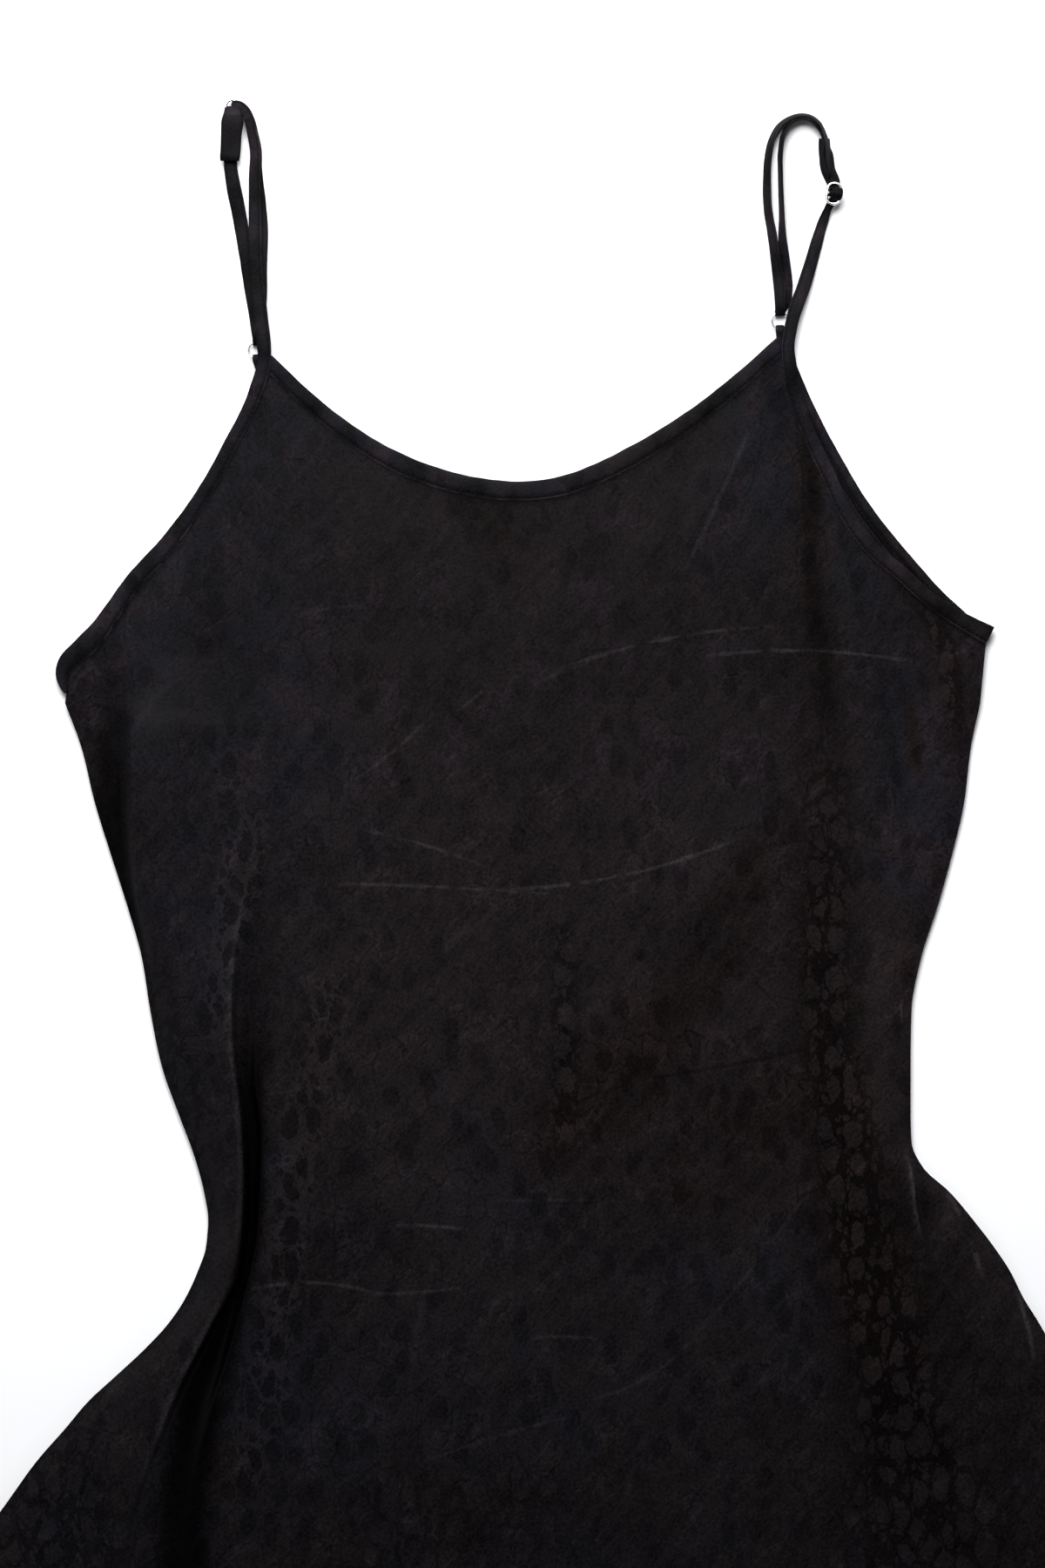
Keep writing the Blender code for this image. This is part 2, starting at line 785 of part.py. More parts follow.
def slider_mesh(name, frame):
    """Oblong wire frame with a middle bar, joined into one solid."""
    half_long = (SLIDER_LONG - SLIDER_WIRE) / 2
    half_wide = (SLIDER_ACROSS - SLIDER_WIRE) / 2
    corner = 1.5
    spots = []
    for k in range(20):
        angle = 2 * math.pi * (k + 0.5) / 20
        c, s = math.cos(angle), math.sin(angle)
        a = math.copysign(half_long - corner, c) + corner * c
        b = math.copysign(half_wide - corner, s) + corner * s
        spots.append((a, b))
    rings = []
    for k in range(20):
        before, here, after = spots[k - 1], spots[k], spots[(k + 1) % 20]
        run = np.array([after[0] - before[0], after[1] - before[1]])
        run /= np.linalg.norm(run)
        side = frame.along * run[1] - frame.across * run[0]
        spot = frame.centre + frame.along * here[0] + frame.across * here[1]
        section = []
        for s in range(8):
            turn = 2 * math.pi * s / 8
            offset = side * math.cos(turn) + frame.up * math.sin(turn)
            section.append(spot + offset * SLIDER_WIRE / 2)
        rings.append(section)
    body = tube_mesh(name, rings, True)
    ends = []
    for share in (-1, 1):
        spot = frame.centre + frame.across * (share * half_wide)
        section = []
        for s in range(8):
            turn = 2 * math.pi * s / 8
            offset = frame.along * math.cos(turn) + frame.up * math.sin(turn)
            section.append(spot + offset * SLIDER_WIRE * 0.45)
        ends.append(section)
    bar = tube_mesh(name + "_bar", ends, False)
    return body, bar


def make_slider(name, frame, collection, cutters, finish):
    """Join the slider's frame and its middle bar."""
    body, bar = slider_mesh(name, frame)
    item = add_object(name, body, collection, finish)
    helper = bpy.data.objects.new(name + "_bar", bar)
    cutters.objects.link(helper)
    helper.hide_render = True
    helper.display_type = "WIRE"
    join = item.modifiers.new("middle_bar", "BOOLEAN")
    join.operation = "UNION"
    join.solver = "EXACT"
    join.object = helper
    return item


def on_slider(frame, along, up, tilt, across, width=5.2, thick=1.2):
    """A strap station given by its place along and above a slider."""
    spot = frame.centre + frame.along * along + frame.up * up
    return Station(*spot, across, tilt, width, thick)


def slider_frame(x, y, z, heading, on_edge):
    """Slider placed at a spot, lying level or standing on its long side."""
    angle = math.radians(heading)
    along = np.array([math.cos(angle), math.sin(angle), 0.0])
    side = np.array([-math.sin(angle), math.cos(angle), 0.0])
    rise = np.array([0.0, 0.0, 1.0])
    if on_edge:
        return Frame(np.array([x, y, z]), along, rise, -side)
    return Frame(np.array([x, y, z]), along, side, rise)


LEFT_RING = (-134.6, 432.4)
RIGHT_RING = (118.0, 446.6)
LEFT_SLIDER = slider_frame(-144.4, 550.6, 4.2, 180.0, True)
RIGHT_SLIDER = slider_frame(144.8, 507.4, 5.2, 74.0, False)

# Front strand of the left strap, from the binding up to the slider.
LEFT_FRONT_STRAND = [
    Station(-131.2, 425.4, 5.2, 184, 0, 6.0, 1.3),
    Station(-132.4, 436.0, 5.5, 186, 0, 6.0, 1.3),
    Station(-133.6, 448.0, 5.2, 185, 0, 6.0, 1.3),
    Station(-134.4, 470.0, 4.4, 182, 0, 6.2, 1.3),
    Station(-135.5, 498.0, 4.3, 182, 0, 6.2, 1.3),
    Station(-135.9, 519.0, 4.3, 181, -14, 6.0, 1.3),
    Station(-136.2, 532.0, 4.2, 184, -50, 5.8, 1.3),
    Station(-137.2, 541.0, 4.2, 200, -82, 5.4, 1.2),
    Station(-139.6, 546.0, 4.2, 205, -90, 5.2, 1.2),
]
LEFT_BACK_STRAND = [
    Station(-135.6, 544.0, 4.0, 180, -84, 5.4, 1.2),
    Station(-133.6, 534.0, 2.6, 180, -50, 5.8, 1.3),
    Station(-132.8, 522.0, 1.1, 180, -10, 6.0, 1.3),
    Station(-132.2, 506.0, 0.9, 180, 0, 6.0, 1.3),
    Station(-132.0, 490.0, 1.0, 180, 0, 6.0, 1.3),
    Station(-132.2, 475.0, 1.7, 180, 0, 6.0, 1.3),
    Station(-132.8, 460.0, 2.7, 180, 0, 5.6, 1.2),
    Station(-133.8, 448.0, 3.3, 180, 0, 5.0, 1.2),
]
LEFT_INNER_STRAND = [
    Station(-135.2, 442.0, 0.8, 180, 0, 4.8, 1.1),
    Station(-136.5, 450.0, 0.8, 180, 0, 5.6, 1.2),
    Station(-138.6, 466.0, 0.8, 180, 0, 6.2, 1.3),
    Station(-141.1, 483.0, 0.8, 180, 0, 6.4, 1.3),
    Station(-144.0, 500.0, 0.9, 180, 0, 6.6, 1.3),
    Station(-146.6, 514.0, 1.6, 180, 0, 6.6, 1.2),
    Station(-148.2, 524.0, 2.6, 180, 0, 6.0, 1.1),
    Station(-148.2, 533.0, 2.7, 180, -10, 6.0, 1.1),
    Station(-147.2, 541.0, 3.4, 180, -55, 5.6, 1.1),
]
LEFT_TURNED_END = [
    Station(-144.2, 541.0, 2.7, 180, -55, 5.6, 1.1),
    Station(-144.6, 533.0, 1.2, 180, -6, 6.0, 1.1),
    Station(-144.6, 524.0, 1.0, 180, 0, 6.4, 1.3),
]

# The right strap, in the same order.
RIGHT_FRONT_STRAND = [
    Station(121.8, 432.4, 5.2, 178, 0, 6.0, 1.3),
    Station(123.0, 442.0, 5.3, 174, 0, 6.0, 1.3),
    Station(125.0, 452.0, 4.7, 167, 0, 6.0, 1.3),
    Station(127.9, 462.0, 3.2, 164, 0, 6.2, 1.3),
    Station(131.5, 474.0, 1.5, 165, 0, 6.2, 1.3),
    Station(135.7, 487.0, 1.2, 163, 0, 6.0, 1.3),
]
RIGHT_OUTER_STRAND = [
    Station(147.2, 518.4, 3.2, 175, 40, 5.4, 1.2),
    Station(146.3, 525.0, 3.2, 184, 80, 5.8, 1.2),
    Station(144.0, 532.6, 3.2, 203, 84, 5.8, 1.2),
    Station(140.0, 540.4, 3.2, 220, 84, 5.8, 1.2),
    Station(134.6, 545.6, 3.2, 246, 82, 5.8, 1.3),
    Station(128.5, 547.4, 3.2, 272, 80, 5.8, 1.3),
    Station(122.6, 546.0, 3.2, 295, 78, 5.8, 1.3),
    Station(117.6, 541.8, 3.2, 318, 74, 5.8, 1.3),
    Station(114.6, 535.0, 3.1, 340, 66, 5.8, 1.3),
    Station(112.6, 525.4, 3.0, 352, 56, 5.8, 1.3),
    Station(111.9, 514.0, 3.0, 358, 50, 6.0, 1.3),
    Station(112.3, 500.0, 3.0, 363, 48, 6.0, 1.3),
    Station(113.8, 488.0, 3.0, 366, 44, 6.0, 1.3),
    Station(115.2, 474.0, 3.2, 363, 30, 6.0, 1.3),
    Station(116.6, 460.0, 3.7, 362, 8, 5.4, 1.2),
]
RIGHT_INNER_STRAND = [
    Station(119.0, 456.0, 0.8, 358, 0, 4.8, 1.1),
    Station(120.9, 463.0, 0.8, 0, 0, 5.6, 1.2),
    Station(121.0, 474.0, 1.0, 2, 10, 6.0, 1.3),
    Station(119.8, 486.0, 2.2, 4, 50, 6.0, 1.2),
    Station(118.8, 498.0, 3.0, 3, 78, 6.0, 1.2),
    Station(118.2, 516.0, 3.1, 0, 84, 6.0, 1.2),
    Station(118.5, 529.0, 3.1, 352, 84, 6.0, 1.2),
    Station(120.5, 537.0, 3.1, 330, 84, 6.0, 1.2),
    Station(124.4, 541.8, 3.1, 300, 84, 6.0, 1.2),
    Station(129.6, 542.4, 3.1, 265, 84, 6.0, 1.2),
    Station(134.4, 539.0, 3.0, 235, 78, 6.0, 1.2),
    Station(137.8, 533.6, 2.7, 212, 45, 6.0, 1.1),
    Station(140.2, 527.0, 2.1, 196, 4, 6.6, 1.1),
    Station(142.2, 520.0, 2.1, 184, 0, 6.4, 1.1),
]
RIGHT_TURNED_END = [
    Station(144.4, 515.6, 0.8, 172, 0, 5.2, 1.1),
    Station(142.4, 521.0, 0.8, 184, 0, 6.2, 1.1),
    Station(140.6, 527.0, 0.8, 196, 0, 6.6, 1.1),
]

# How a strap runs round a slider's bars: along it, above it, and its width.
Pass = namedtuple("Pass", "along up width")
OVER_MIDDLE_BAR = [
    Pass(-9.5, -3.7, 5.6),
    Pass(-5.4, -1.75, 5.2),
    Pass(-3.8, -1.0, 5.2),
    Pass(-2.75, 0.4, 5.2),
    Pass(-1.9, 1.9, 5.2),
    Pass(0.0, 2.65, 5.2),
    Pass(1.9, 1.9, 5.2),
    Pass(2.75, 0.4, 5.2),
    Pass(3.8, -1.0, 5.2),
    Pass(5.4, -1.75, 5.2),
    Pass(8.2, -2.2, 5.2),
]
OVER_END_BAR = [
    Pass(-3.5, -1.0, 5.0),
    Pass(-3.9, 1.0, 5.0),
    Pass(-5.15, 1.7, 5.0),
    Pass(-6.4, 1.0, 5.0),
    Pass(-6.9, -1.0, 5.0),
]
SEWN_LOOP = [
    Pass(1.3, -1.2, 5.0),
    Pass(1.3, 0.0, 5.0),
    Pass(0.92, 0.92, 5.0),
    Pass(0.0, 1.3, 5.0),
    Pass(-0.92, 0.92, 5.0),
    Pass(-1.3, 0.0, 5.0),
]


def through_slider(frame, passes, across, tilt, thick=1.1):
    """Strap stations for a run round a slider's bars."""
    return [on_slider(frame, p.along, p.up, tilt, across, p.width, thick) for p in passes]


def ring_turn(ring, side, across, width, thick):
    """Stations of a band folded through a ring, from its upper leg to its lower one."""
    x, y = ring
    bend = 1.5
    wire = y + side * RING_RADIUS
    tip = wire - side * bend
    return [
        Station(x, wire, RING_LEVEL + bend, across, 0, width, thick),
        Station(x, tip + side * 0.44, RING_LEVEL + bend * 0.71, across, 0, width, thick),
        Station(x, tip, RING_LEVEL, across, 0, width, thick),
        Station(x, tip + side * 0.44, RING_LEVEL - bend * 0.71, across, 0, width, thick),
        Station(x, wire, RING_LEVEL - bend, across, 0, width, thick),
    ]


def left_strap():
    """Left strap: up to the slider, down to the ring and up to the middle bar."""
    frame = LEFT_SLIDER
    rows = list(LEFT_FRONT_STRAND)
    rows += through_slider(frame, OVER_END_BAR, 200, -90, 1.2)
    rows += LEFT_BACK_STRAND
    rows += ring_turn(LEFT_RING, 1, 180, 4.0, 0.9)
    rows += LEFT_INNER_STRAND
    rows += through_slider(frame, [Pass(1.3, -5.0, 5.2)] + SEWN_LOOP, 180, -90)
    rows += through_slider(frame, [Pass(-1.3, -5.0, 5.2)], 180, -90)
    return rows + LEFT_TURNED_END


def right_strap():
    """Right strap, with its slider lying level."""
    frame = RIGHT_SLIDER
    rows = list(RIGHT_FRONT_STRAND)
    rows += through_slider(frame, OVER_MIDDLE_BAR, 164, 0)
    rows += RIGHT_OUTER_STRAND
    rows += ring_turn(RIGHT_RING, 1, 0, 4.0, 0.9)
    rows += RIGHT_INNER_STRAND
    rows += through_slider(frame, [Pass(5.4, -3.1, 5.0), Pass(3.2, -2.5, 5.0)] + SEWN_LOOP, 164, 0)
    under = [Pass(-0.7, -1.5, 5.0), Pass(0.8, -3.2, 5.0), Pass(3.6, -4.2, 5.0)]
    rows += through_slider(frame, under, 164, 0)
    return rows + RIGHT_TURNED_END


def ring_tab(ring, foot):
    """Small loop that holds a ring to the back's peak."""
    x, y = foot
    middle = ((x + ring[0]) / 2, (y + ring[1] - RING_RADIUS) / 2)
    rows = [
        Station(x, y, 1.9, 180, 0, 5.0, 0.9),
        Station(middle[0], middle[1], 2.8, 180, 0, 4.6, 0.9),
    ]
    rows += ring_turn(ring, -1, 180, 4.0, 0.9)
    rows += [
        Station(middle[0], middle[1], 0.6, 180, 0, 4.6, 0.9),
        Station(x, y, 0.6, 180, 0, 5.0, 0.9),
    ]
    return rows


def make_straps(collection, cutters, cloth, metal):
    """Straps with their rings, ring tabs and sliders."""
    make_band("strap_left", left_strap(), 100, collection, cloth)
    make_band("strap_right", right_strap(), 128, collection, cloth)
    make_band("ring_tab_left", ring_tab(LEFT_RING, (-131.4, 418.9)), 22, collection, cloth)
    make_band("ring_tab_right", ring_tab(RIGHT_RING, (119.4, 433.4)), 22, collection, cloth)
    for name, ring in (("ring_left", LEFT_RING), ("ring_right", RIGHT_RING)):
        add_object(name, ring_mesh(name, (*ring, RING_LEVEL), RING_RADIUS, RING_WIRE), collection, metal)
    make_slider("slider_left", LEFT_SLIDER, collection, cutters, metal)
    make_slider("slider_right", RIGHT_SLIDER, collection, cutters, metal)


def build():
    """Make every piece of the dress."""
    clear_scene()
    dress = bpy.data.collections.new("slip_dress")
    cutters = bpy.data.collections.new("slip_dress_cutters")
    for made in (dress, cutters):
        bpy.context.scene.collection.children.link(made)
    cloth = ((0.013, 0.013, 0.014), 0.0, 0.6)
    metal = ((0.75, 0.75, 0.77), 1.0, 0.25)
    make_back(dress, cloth)
    make_front(dress, cloth)
    make_bindings(dress, cloth)
    make_straps(dress, cutters, cloth, metal)


build()
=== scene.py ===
"""Slip dress with adjustable straps, laid flat and face up.

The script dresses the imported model: thin cloth shells with their folds,
bias bindings, straps, stitching and metal, on a pale floor in soft light.
Tables are in millimetres and finished meshes in metres.
"""

import logging
import math
from dataclasses import dataclass, field
from enum import Enum
from typing import Callable, NamedTuple, Optional, Sequence

import bmesh
import bpy
import numpy as np
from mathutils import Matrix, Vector


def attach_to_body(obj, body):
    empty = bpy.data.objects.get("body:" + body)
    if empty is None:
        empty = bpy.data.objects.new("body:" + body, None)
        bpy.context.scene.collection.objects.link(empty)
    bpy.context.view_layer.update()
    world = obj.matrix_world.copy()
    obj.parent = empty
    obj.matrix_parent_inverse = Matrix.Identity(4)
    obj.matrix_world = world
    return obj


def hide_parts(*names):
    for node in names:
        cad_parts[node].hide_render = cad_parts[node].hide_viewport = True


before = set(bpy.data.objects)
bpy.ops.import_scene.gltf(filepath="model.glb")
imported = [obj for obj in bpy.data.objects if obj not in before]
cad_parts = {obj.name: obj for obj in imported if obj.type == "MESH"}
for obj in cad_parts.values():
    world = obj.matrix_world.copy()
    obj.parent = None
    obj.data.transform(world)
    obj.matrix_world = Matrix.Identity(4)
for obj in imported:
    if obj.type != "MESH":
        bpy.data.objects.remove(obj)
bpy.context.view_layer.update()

Socket = bpy.types.NodeSocket
Material = bpy.types.Material
Piece = bpy.types.Object
Guide = Callable[[float], float]
Level = Callable[[float, float], float]

MM = 0.001
BODY = "root"
STITCH_LIFT = 0.40
STRIP_OVERLAP = 0.5

logging.basicConfig(level=logging.INFO, format="%(message)s")
log = logging.getLogger("slip_dress")


def records(kind: Callable, *rows: tuple) -> list:
    """Rows of a table, each made a record with the kind's named columns."""
    return [kind(*row) for row in rows]


class Side(Enum):
    """Wearer-independent side, as seen from above."""

    LEFT = "left"
    RIGHT = "right"


class Section(NamedTuple):
    """Side seams at one level."""

    y: float
    left: float
    right: float


class Fold(NamedTuple):
    """One row of a fold's table: crest place, height and both widths."""

    y: float
    x: float
    height: float
    left_width: float
    right_width: float


def folds(*rows: tuple) -> list[Fold]:
    """Rows of a fold's table."""
    return records(Fold, *rows)


class Edge(NamedTuple):
    """A point on a cut or finished edge."""

    x: float
    y: float


class Line(NamedTuple):
    """A point on a guide line that the mesh follows."""

    y: float
    x: float


class Station(NamedTuple):
    """A strap's place, the way its width points, and its size."""

    x: float
    y: float
    z: float
    across: float
    tilt: float
    width: float
    thick: float


class Pass(NamedTuple):
    """A strap's place on a slider: along it, above it, and its width."""

    along: float
    up: float
    width: float
    aside: float = 0.0


# Side seams from the underarm down to the hem, one row per level.
SECTIONS = records(
    Section, (262, -227, 214.5), (240, -219, 210), (215, -213, 207), (189, -205, 201),
    (164, -197, 194), (139, -190, 186), (114, -186, 181.5), (89, -181, 181), (63, -172, 181),
    (50, -167, 181.5), (38, -163, 187), (26, -160, 200), (13, -158, 211), (0, -159, 221),
    (-12, -163, 229), (-25, -169, 235.5), (-37, -177, 243), (-50, -189, 250), (-63, -203, 256),
    (-75, -216, 262), (-88, -227, 268), (-104, -241, 274.5), (-122, -254, 281), (-142, -268, 286),
    (-170, -283, 292), (-205, -295, 298), (-256, -304, 303), (-320, -311, 310), (-390, -319, 318),
    (-460, -327, 326),
)

# Cut edge of the front panel from the left underarm to the left peak.
FRONT_ARMHOLE_LEFT = records(
    Edge, (-224.7, 279), (-216, 284.5), (-209, 292), (-201, 304), (-193, 316.5), (-177, 334),
    (-166, 348.5), (-153.7, 367.5), (-145, 384), (-135.2, 403), (-128.2, 421.5),
)

# Cut edge of the front neckline from the left peak to the right peak.
FRONT_NECK = records(
    Edge, (-128.2, 421.5), (-113, 406.1), (-97, 392.3), (-80.6, 380.9), (-64.7, 372.1), (-48.7, 366.2),
    (-29.4, 361.4), (-10, 359.6), (13, 362), (34, 369.6), (58, 382.8), (73.9, 393.1), (90.3, 406.1),
    (106.3, 419.8), (118.2, 430.4),
)

# Cut edge of the front panel from the right peak to the right underarm.
FRONT_ARMHOLE_RIGHT = records(
    Edge, (118.2, 430.4), (122.2, 409.1), (129.4, 389.8), (139, 369.2), (147.8, 350.4), (159.2, 334.8),
    (175.6, 320.4), (191, 306.8), (204.1, 298.2), (217.1, 290.6),
)

# Free edge of the front neck binding, left to right.
FRONT_NECK_TOP = records(
    Edge, (-126.4, 428), (-107.1, 409.9), (-94.5, 399.9), (-81.9, 391.2), (-69.3, 384.2),
    (-56.7, 378.6), (-44.1, 374.3), (-31.5, 371.2), (-18.9, 369.3), (-6.3, 368.7), (6.3, 369.8),
    (18.9, 373), (31.5, 378), (44.1, 384.3), (56.7, 391.3), (69.3, 399.2), (81.9, 408), (94.5, 418),
    (107.1, 428.8), (116.6, 437.6),
)

# Free edges of the front armhole bindings, underarm to peak.
# The left binding's lower end turns down and under at the side.
TURNED_UNDER_LEFT = records(Edge, (-225.4, 267.6), (-225.2, 272.8), (-222.6, 279.4), (-216, 285.8))
FRONT_ARM_FREE_LEFT = records(
    Edge, (-227, 266.4), (-231, 273), (-230.6, 279.8), (-223.2, 288.6), (-214.8, 297.5),
    (-206.4, 308.5), (-197.5, 321), (-181.5, 338.8), (-170.8, 352.5), (-158.9, 370.8), (-150.4, 386.8),
    (-140.9, 405.2), (-134.3, 423.6),
)
FRONT_ARM_FREE_RIGHT = records(
    Edge, (221.2, 298.4), (206.8, 305.4), (195.2, 312.4), (179.4, 326.4), (164, 339.8), (153.4, 353.8),
    (144.8, 372.2), (135.4, 392.2), (128.4, 410.8), (124.6, 431.4),
)

# Cut edges of the back panel.
BACK_ARMHOLE_LEFT = records(
    Edge, (-221, 278), (-213.8, 288), (-204.4, 303), (-191, 318.5), (-176, 333), (-164.2, 348),
    (-152, 366.5), (-143.2, 382.5), (-134, 400), (-129.2, 411.5),
)
BACK_NECK = records(
    Edge, (-129.2, 411.5), (-112, 393.5), (-92, 375.5), (-68, 360), (-40, 350), (-8, 346.5),
    (24, 351.5), (54, 366), (80, 385.5), (103, 408), (119, 425.5),
)
BACK_ARMHOLE_RIGHT = records(
    Edge, (119, 425.5), (129.2, 402.5), (142.2, 377.8), (155.7, 355.4), (167.2, 340.2), (179.8, 325.4),
    (190, 313.8), (202.5, 302), (214.5, 291),
)

# Folds of the front: where each crest runs, how high, how wide each side.
LEFT_LAP = folds(
    (284, -168, 0, 20, 40), (271, -175, 0.8, 14, 44), (259, -188, 2.2, 8, 50), (250, -193, 3.6, 4, 58),
    (231, -195, 4.4, 2.6, 60), (202, -194, 4.8, 2.4, 60), (177, -192.5, 4.6, 2.4, 56),
    (150, -188.5, 3.8, 3, 48), (114, -182, 2.6, 4, 36), (70, -170, 1.4, 5, 24), (40, -158, 0, 6, 20),
)
GULLY_LIP = folds(
    (212, -134, 0, 30, 20), (180, -139, 0.9, 30, 14), (160, -143, 1.8, 30, 8), (139, -146, 3.2, 28, 4),
    (110, -147, 4.8, 26, 2.8), (89, -146, 5.8, 25, 2.4), (68, -143, 6.4, 23, 2.2),
    (34, -141, 6.8, 19, 2.2), (-8, -143, 7.2, 16, 2.2), (-39, -157.5, 7.2, 18, 2.2),
    (-68, -172.5, 6.8, 22, 2.4), (-94, -183, 5.6, 26, 2.8), (-123, -194, 4.6, 30, 3.4),
    (-150, -201, 3.8, 32, 4.5), (-205, -212, 2.6, 34, 8), (-302, -225, 1.6, 36, 20),
    (-420, -233, 0, 36, 30),
)
GULLY_BANK = folds(
    (170, -132, 0, 10, 20), (140, -132, 1.2, 7, 24), (110, -133, 2.4, 4, 28), (80, -134, 3.6, 2.8, 32),
    (55, -131, 4.4, 2.4, 34), (9, -133, 4.6, 2.4, 34), (-21, -139, 4.6, 2.4, 30),
    (-54, -148, 3.8, 2.8, 28), (-88, -158, 2.4, 4.5, 26), (-150, -168, 1, 8, 24),
    (-220, -175, 0, 10, 24),
)
LEFT_RIDGE = folds(
    (140, -108, 0, 14, 14), (110, -110, 0.8, 13, 14), (42, -118, 1.4, 12, 16),
    (-21, -126, 1.4, 11, 18), (-92, -141, 0.8, 11, 20), (-160, -152, 0, 12, 22),
)
RIGHT_VALLEY = folds(
    (418, 124, 0, 10, 8), (396, 130, -0.8, 12, 9), (350, 132, -1.4, 14, 12), (307, 134, -1.8, 15, 14),
    (265, 139, -2, 15, 15), (223, 143, -2, 15, 15), (139, 141, -2, 15, 14), (97, 143, -2.4, 15, 14),
    (55, 147, -2.8, 15, 14), (13, 155, -2.8, 16, 13), (-21, 162, -2.8, 16, 13),
    (-54, 168, -2.4, 16, 14), (-90, 175, -1.6, 18, 16), (-150, 186, -1.2, 20, 20),
    (-260, 198, 0, 24, 24),
)
RIGHT_LAP = folds(
    (150, 184, 0, 20, 5), (110, 177.5, 2.2, 22, 4), (68, 177.5, 4, 24, 3), (50, 178.5, 4.8, 26, 2.4),
    (34, 181, 5.2, 28, 2.2), (19, 182.5, 4.8, 28, 2.2), (7, 185, 3.8, 27, 2.8), (-10, 190, 2.4, 26, 5),
    (-35, 196, 1, 24, 9), (-62, 202, 0, 24, 12),
)
HIP_RIDGE = folds(
    (44, 186, 0, 6, 3), (32, 193, 1.2, 8, 3.5), (20, 203, 1.6, 9, 4), (5, 209, 1.6, 9, 4),
    (-14, 213, 0.8, 9, 5), (-30, 215, 0, 9, 6),
)
SKIRT_FOLD_LEFT = folds(
    (-110, -92, 0, 26, 26), (-190, -96, 1.8, 26, 24), (-320, -104, 3, 28, 22),
    (-450, -112, 3.8, 30, 24), (-560, -118, 4.2, 32, 26),
)
SKIRT_FOLD_MIDDLE = folds(
    (-170, 36, 0, 30, 26), (-280, 40, 1.6, 30, 24), (-420, 46, 2.8, 30, 22), (-560, 52, 3.6, 30, 24),
)
SKIRT_FOLD_RIGHT = folds(
    (-230, 238, 0, 26, 28), (-340, 236, 1.8, 26, 26), (-450, 240, 3, 26, 26), (-560, 246, 3.4, 28, 26),
)
FRONT_FOLDS = [
    LEFT_LAP, GULLY_LIP, GULLY_BANK, LEFT_RIDGE, RIGHT_VALLEY, RIGHT_LAP, HIP_RIDGE, SKIRT_FOLD_LEFT,
    SKIRT_FOLD_MIDDLE, SKIRT_FOLD_RIGHT,
]

# Lines that the front's mesh columns follow, beside the seams.
LAP_LINE = records(
    Line, (262, -186), (245, -194), (202, -194), (177, -192), (150, -187.5), (114, -182), (70, -169.5),
    (38, -158.5), (0, -155), (-25, -163.5), (-50, -180), (-75, -203), (-104, -224), (-142, -246),
    (-205, -268), (-320, -285), (-460, -298),
)
RIGHT_LAP_LINE = records(
    Line, (262, 190), (215, 190), (164, 184), (114, 177.5), (68, 177.5), (50, 178.5), (34, 181),
    (19, 182.5), (7, 185), (-10, 190), (-35, 197), (-80, 212), (-150, 226), (-320, 246), (-460, 258),
)

# Front strand of the left strap, from the binding up to the slider.
LEFT_FRONT_STRAND = records(
    Station, (-130.9, 425.4, 5.2, 184, 0, 6.5, 1.3), (-131, 436, 5.5, 185, 0, 6.7, 1.3),
    (-132.3, 448, 5.2, 185, 0, 6.6, 1.3), (-134.8, 472, 4.4, 182, 0, 6.2, 1.3),
    (-135.3, 496, 4.3, 181, 0, 6.1, 1.3), (-135.5, 515, 4.3, 181, -8, 5.6, 1.3),
    (-135.4, 530, 4.5, 183, -14, 5.2, 1.3), (-136.9, 538, 4.7, 192, -16, 5.2, 1.2),
    (-138, 543.4, 4.9, 205, -18, 5.2, 1.2), (-140.1, 547.4, 5.1, 227, -18, 5.2, 1.2),
    (-143, 549.7, 4.9, 247, -12, 5, 1.1), (-145.7, 550.3, 4.1, 262, -6, 4.6, 1),
    (-146.5, 550.4, 2.7, 266, 0, 4.2, 0.9), (-145.7, 550.3, 1.3, 262, 0, 4.2, 0.9),
)
LEFT_BACK_STRAND = records(
    Station, (-143, 549.5, 1.1, 247, 0, 4.6, 0.9), (-140, 547.2, 1.1, 227, 0, 4.8, 1),
    (-137.9, 543.2, 1.1, 205, 0, 4.8, 1.1), (-136.6, 537.6, 1, 191, 0, 5.2, 1.2),
    (-135.1, 530, 0.9, 182, 0, 5.4, 1.3), (-134.9, 520, 0.9, 180, 0, 5.6, 1.3),
    (-133.5, 506, 0.9, 180, 0, 6, 1.3), (-132.2, 490, 1, 180, 0, 6, 1.3),
    (-132.6, 475, 1.7, 180, 0, 6, 1.3), (-132.5, 460, 2.7, 180, 0, 5.8, 1.2),
    (-133, 448, 3.3, 180, 0, 5.2, 1.2),
)
LEFT_INNER_STRAND = records(
    Station, (-135, 442, 0.8, 180, 0, 4.8, 1.1), (-135.9, 450, 0.8, 180, 0, 5.4, 1.2),
    (-138.2, 466, 0.8, 180, 0, 6.2, 1.3), (-140.3, 481, 0.8, 180, 0, 6.6, 1.3),
    (-142.1, 492, 0.9, 180, 0, 6.8, 1.3), (-144, 502.5, 1.2, 180, 0, 7, 1.3),
    (-146.1, 513, 1.7, 180, 0, 6.8, 1.2), (-147.3, 521.6, 1.9, 180, 0, 6.4, 1.2),
    (-147.4, 532, 1.7, 180, 0, 6, 1.1), (-147.1, 541, 1.2, 180, 0, 5, 1),
)
LEFT_TURNED_END = records(
    Station, (-146.2, 546.6, 4.6, 180, 0, 8.4, 1.9), (-146.2, 543.6, 4.8, 180, 0, 10, 2.2),
    (-146.7, 536, 4.6, 180, 0, 10.1, 2.2), (-147.1, 528, 4.4, 180, 0, 9.8, 2.2),
    (-147.4, 524.8, 4.3, 180, 0, 9.4, 2.2), (-147.4, 523.4, 4.2, 180, 0, 9, 1.6),
)

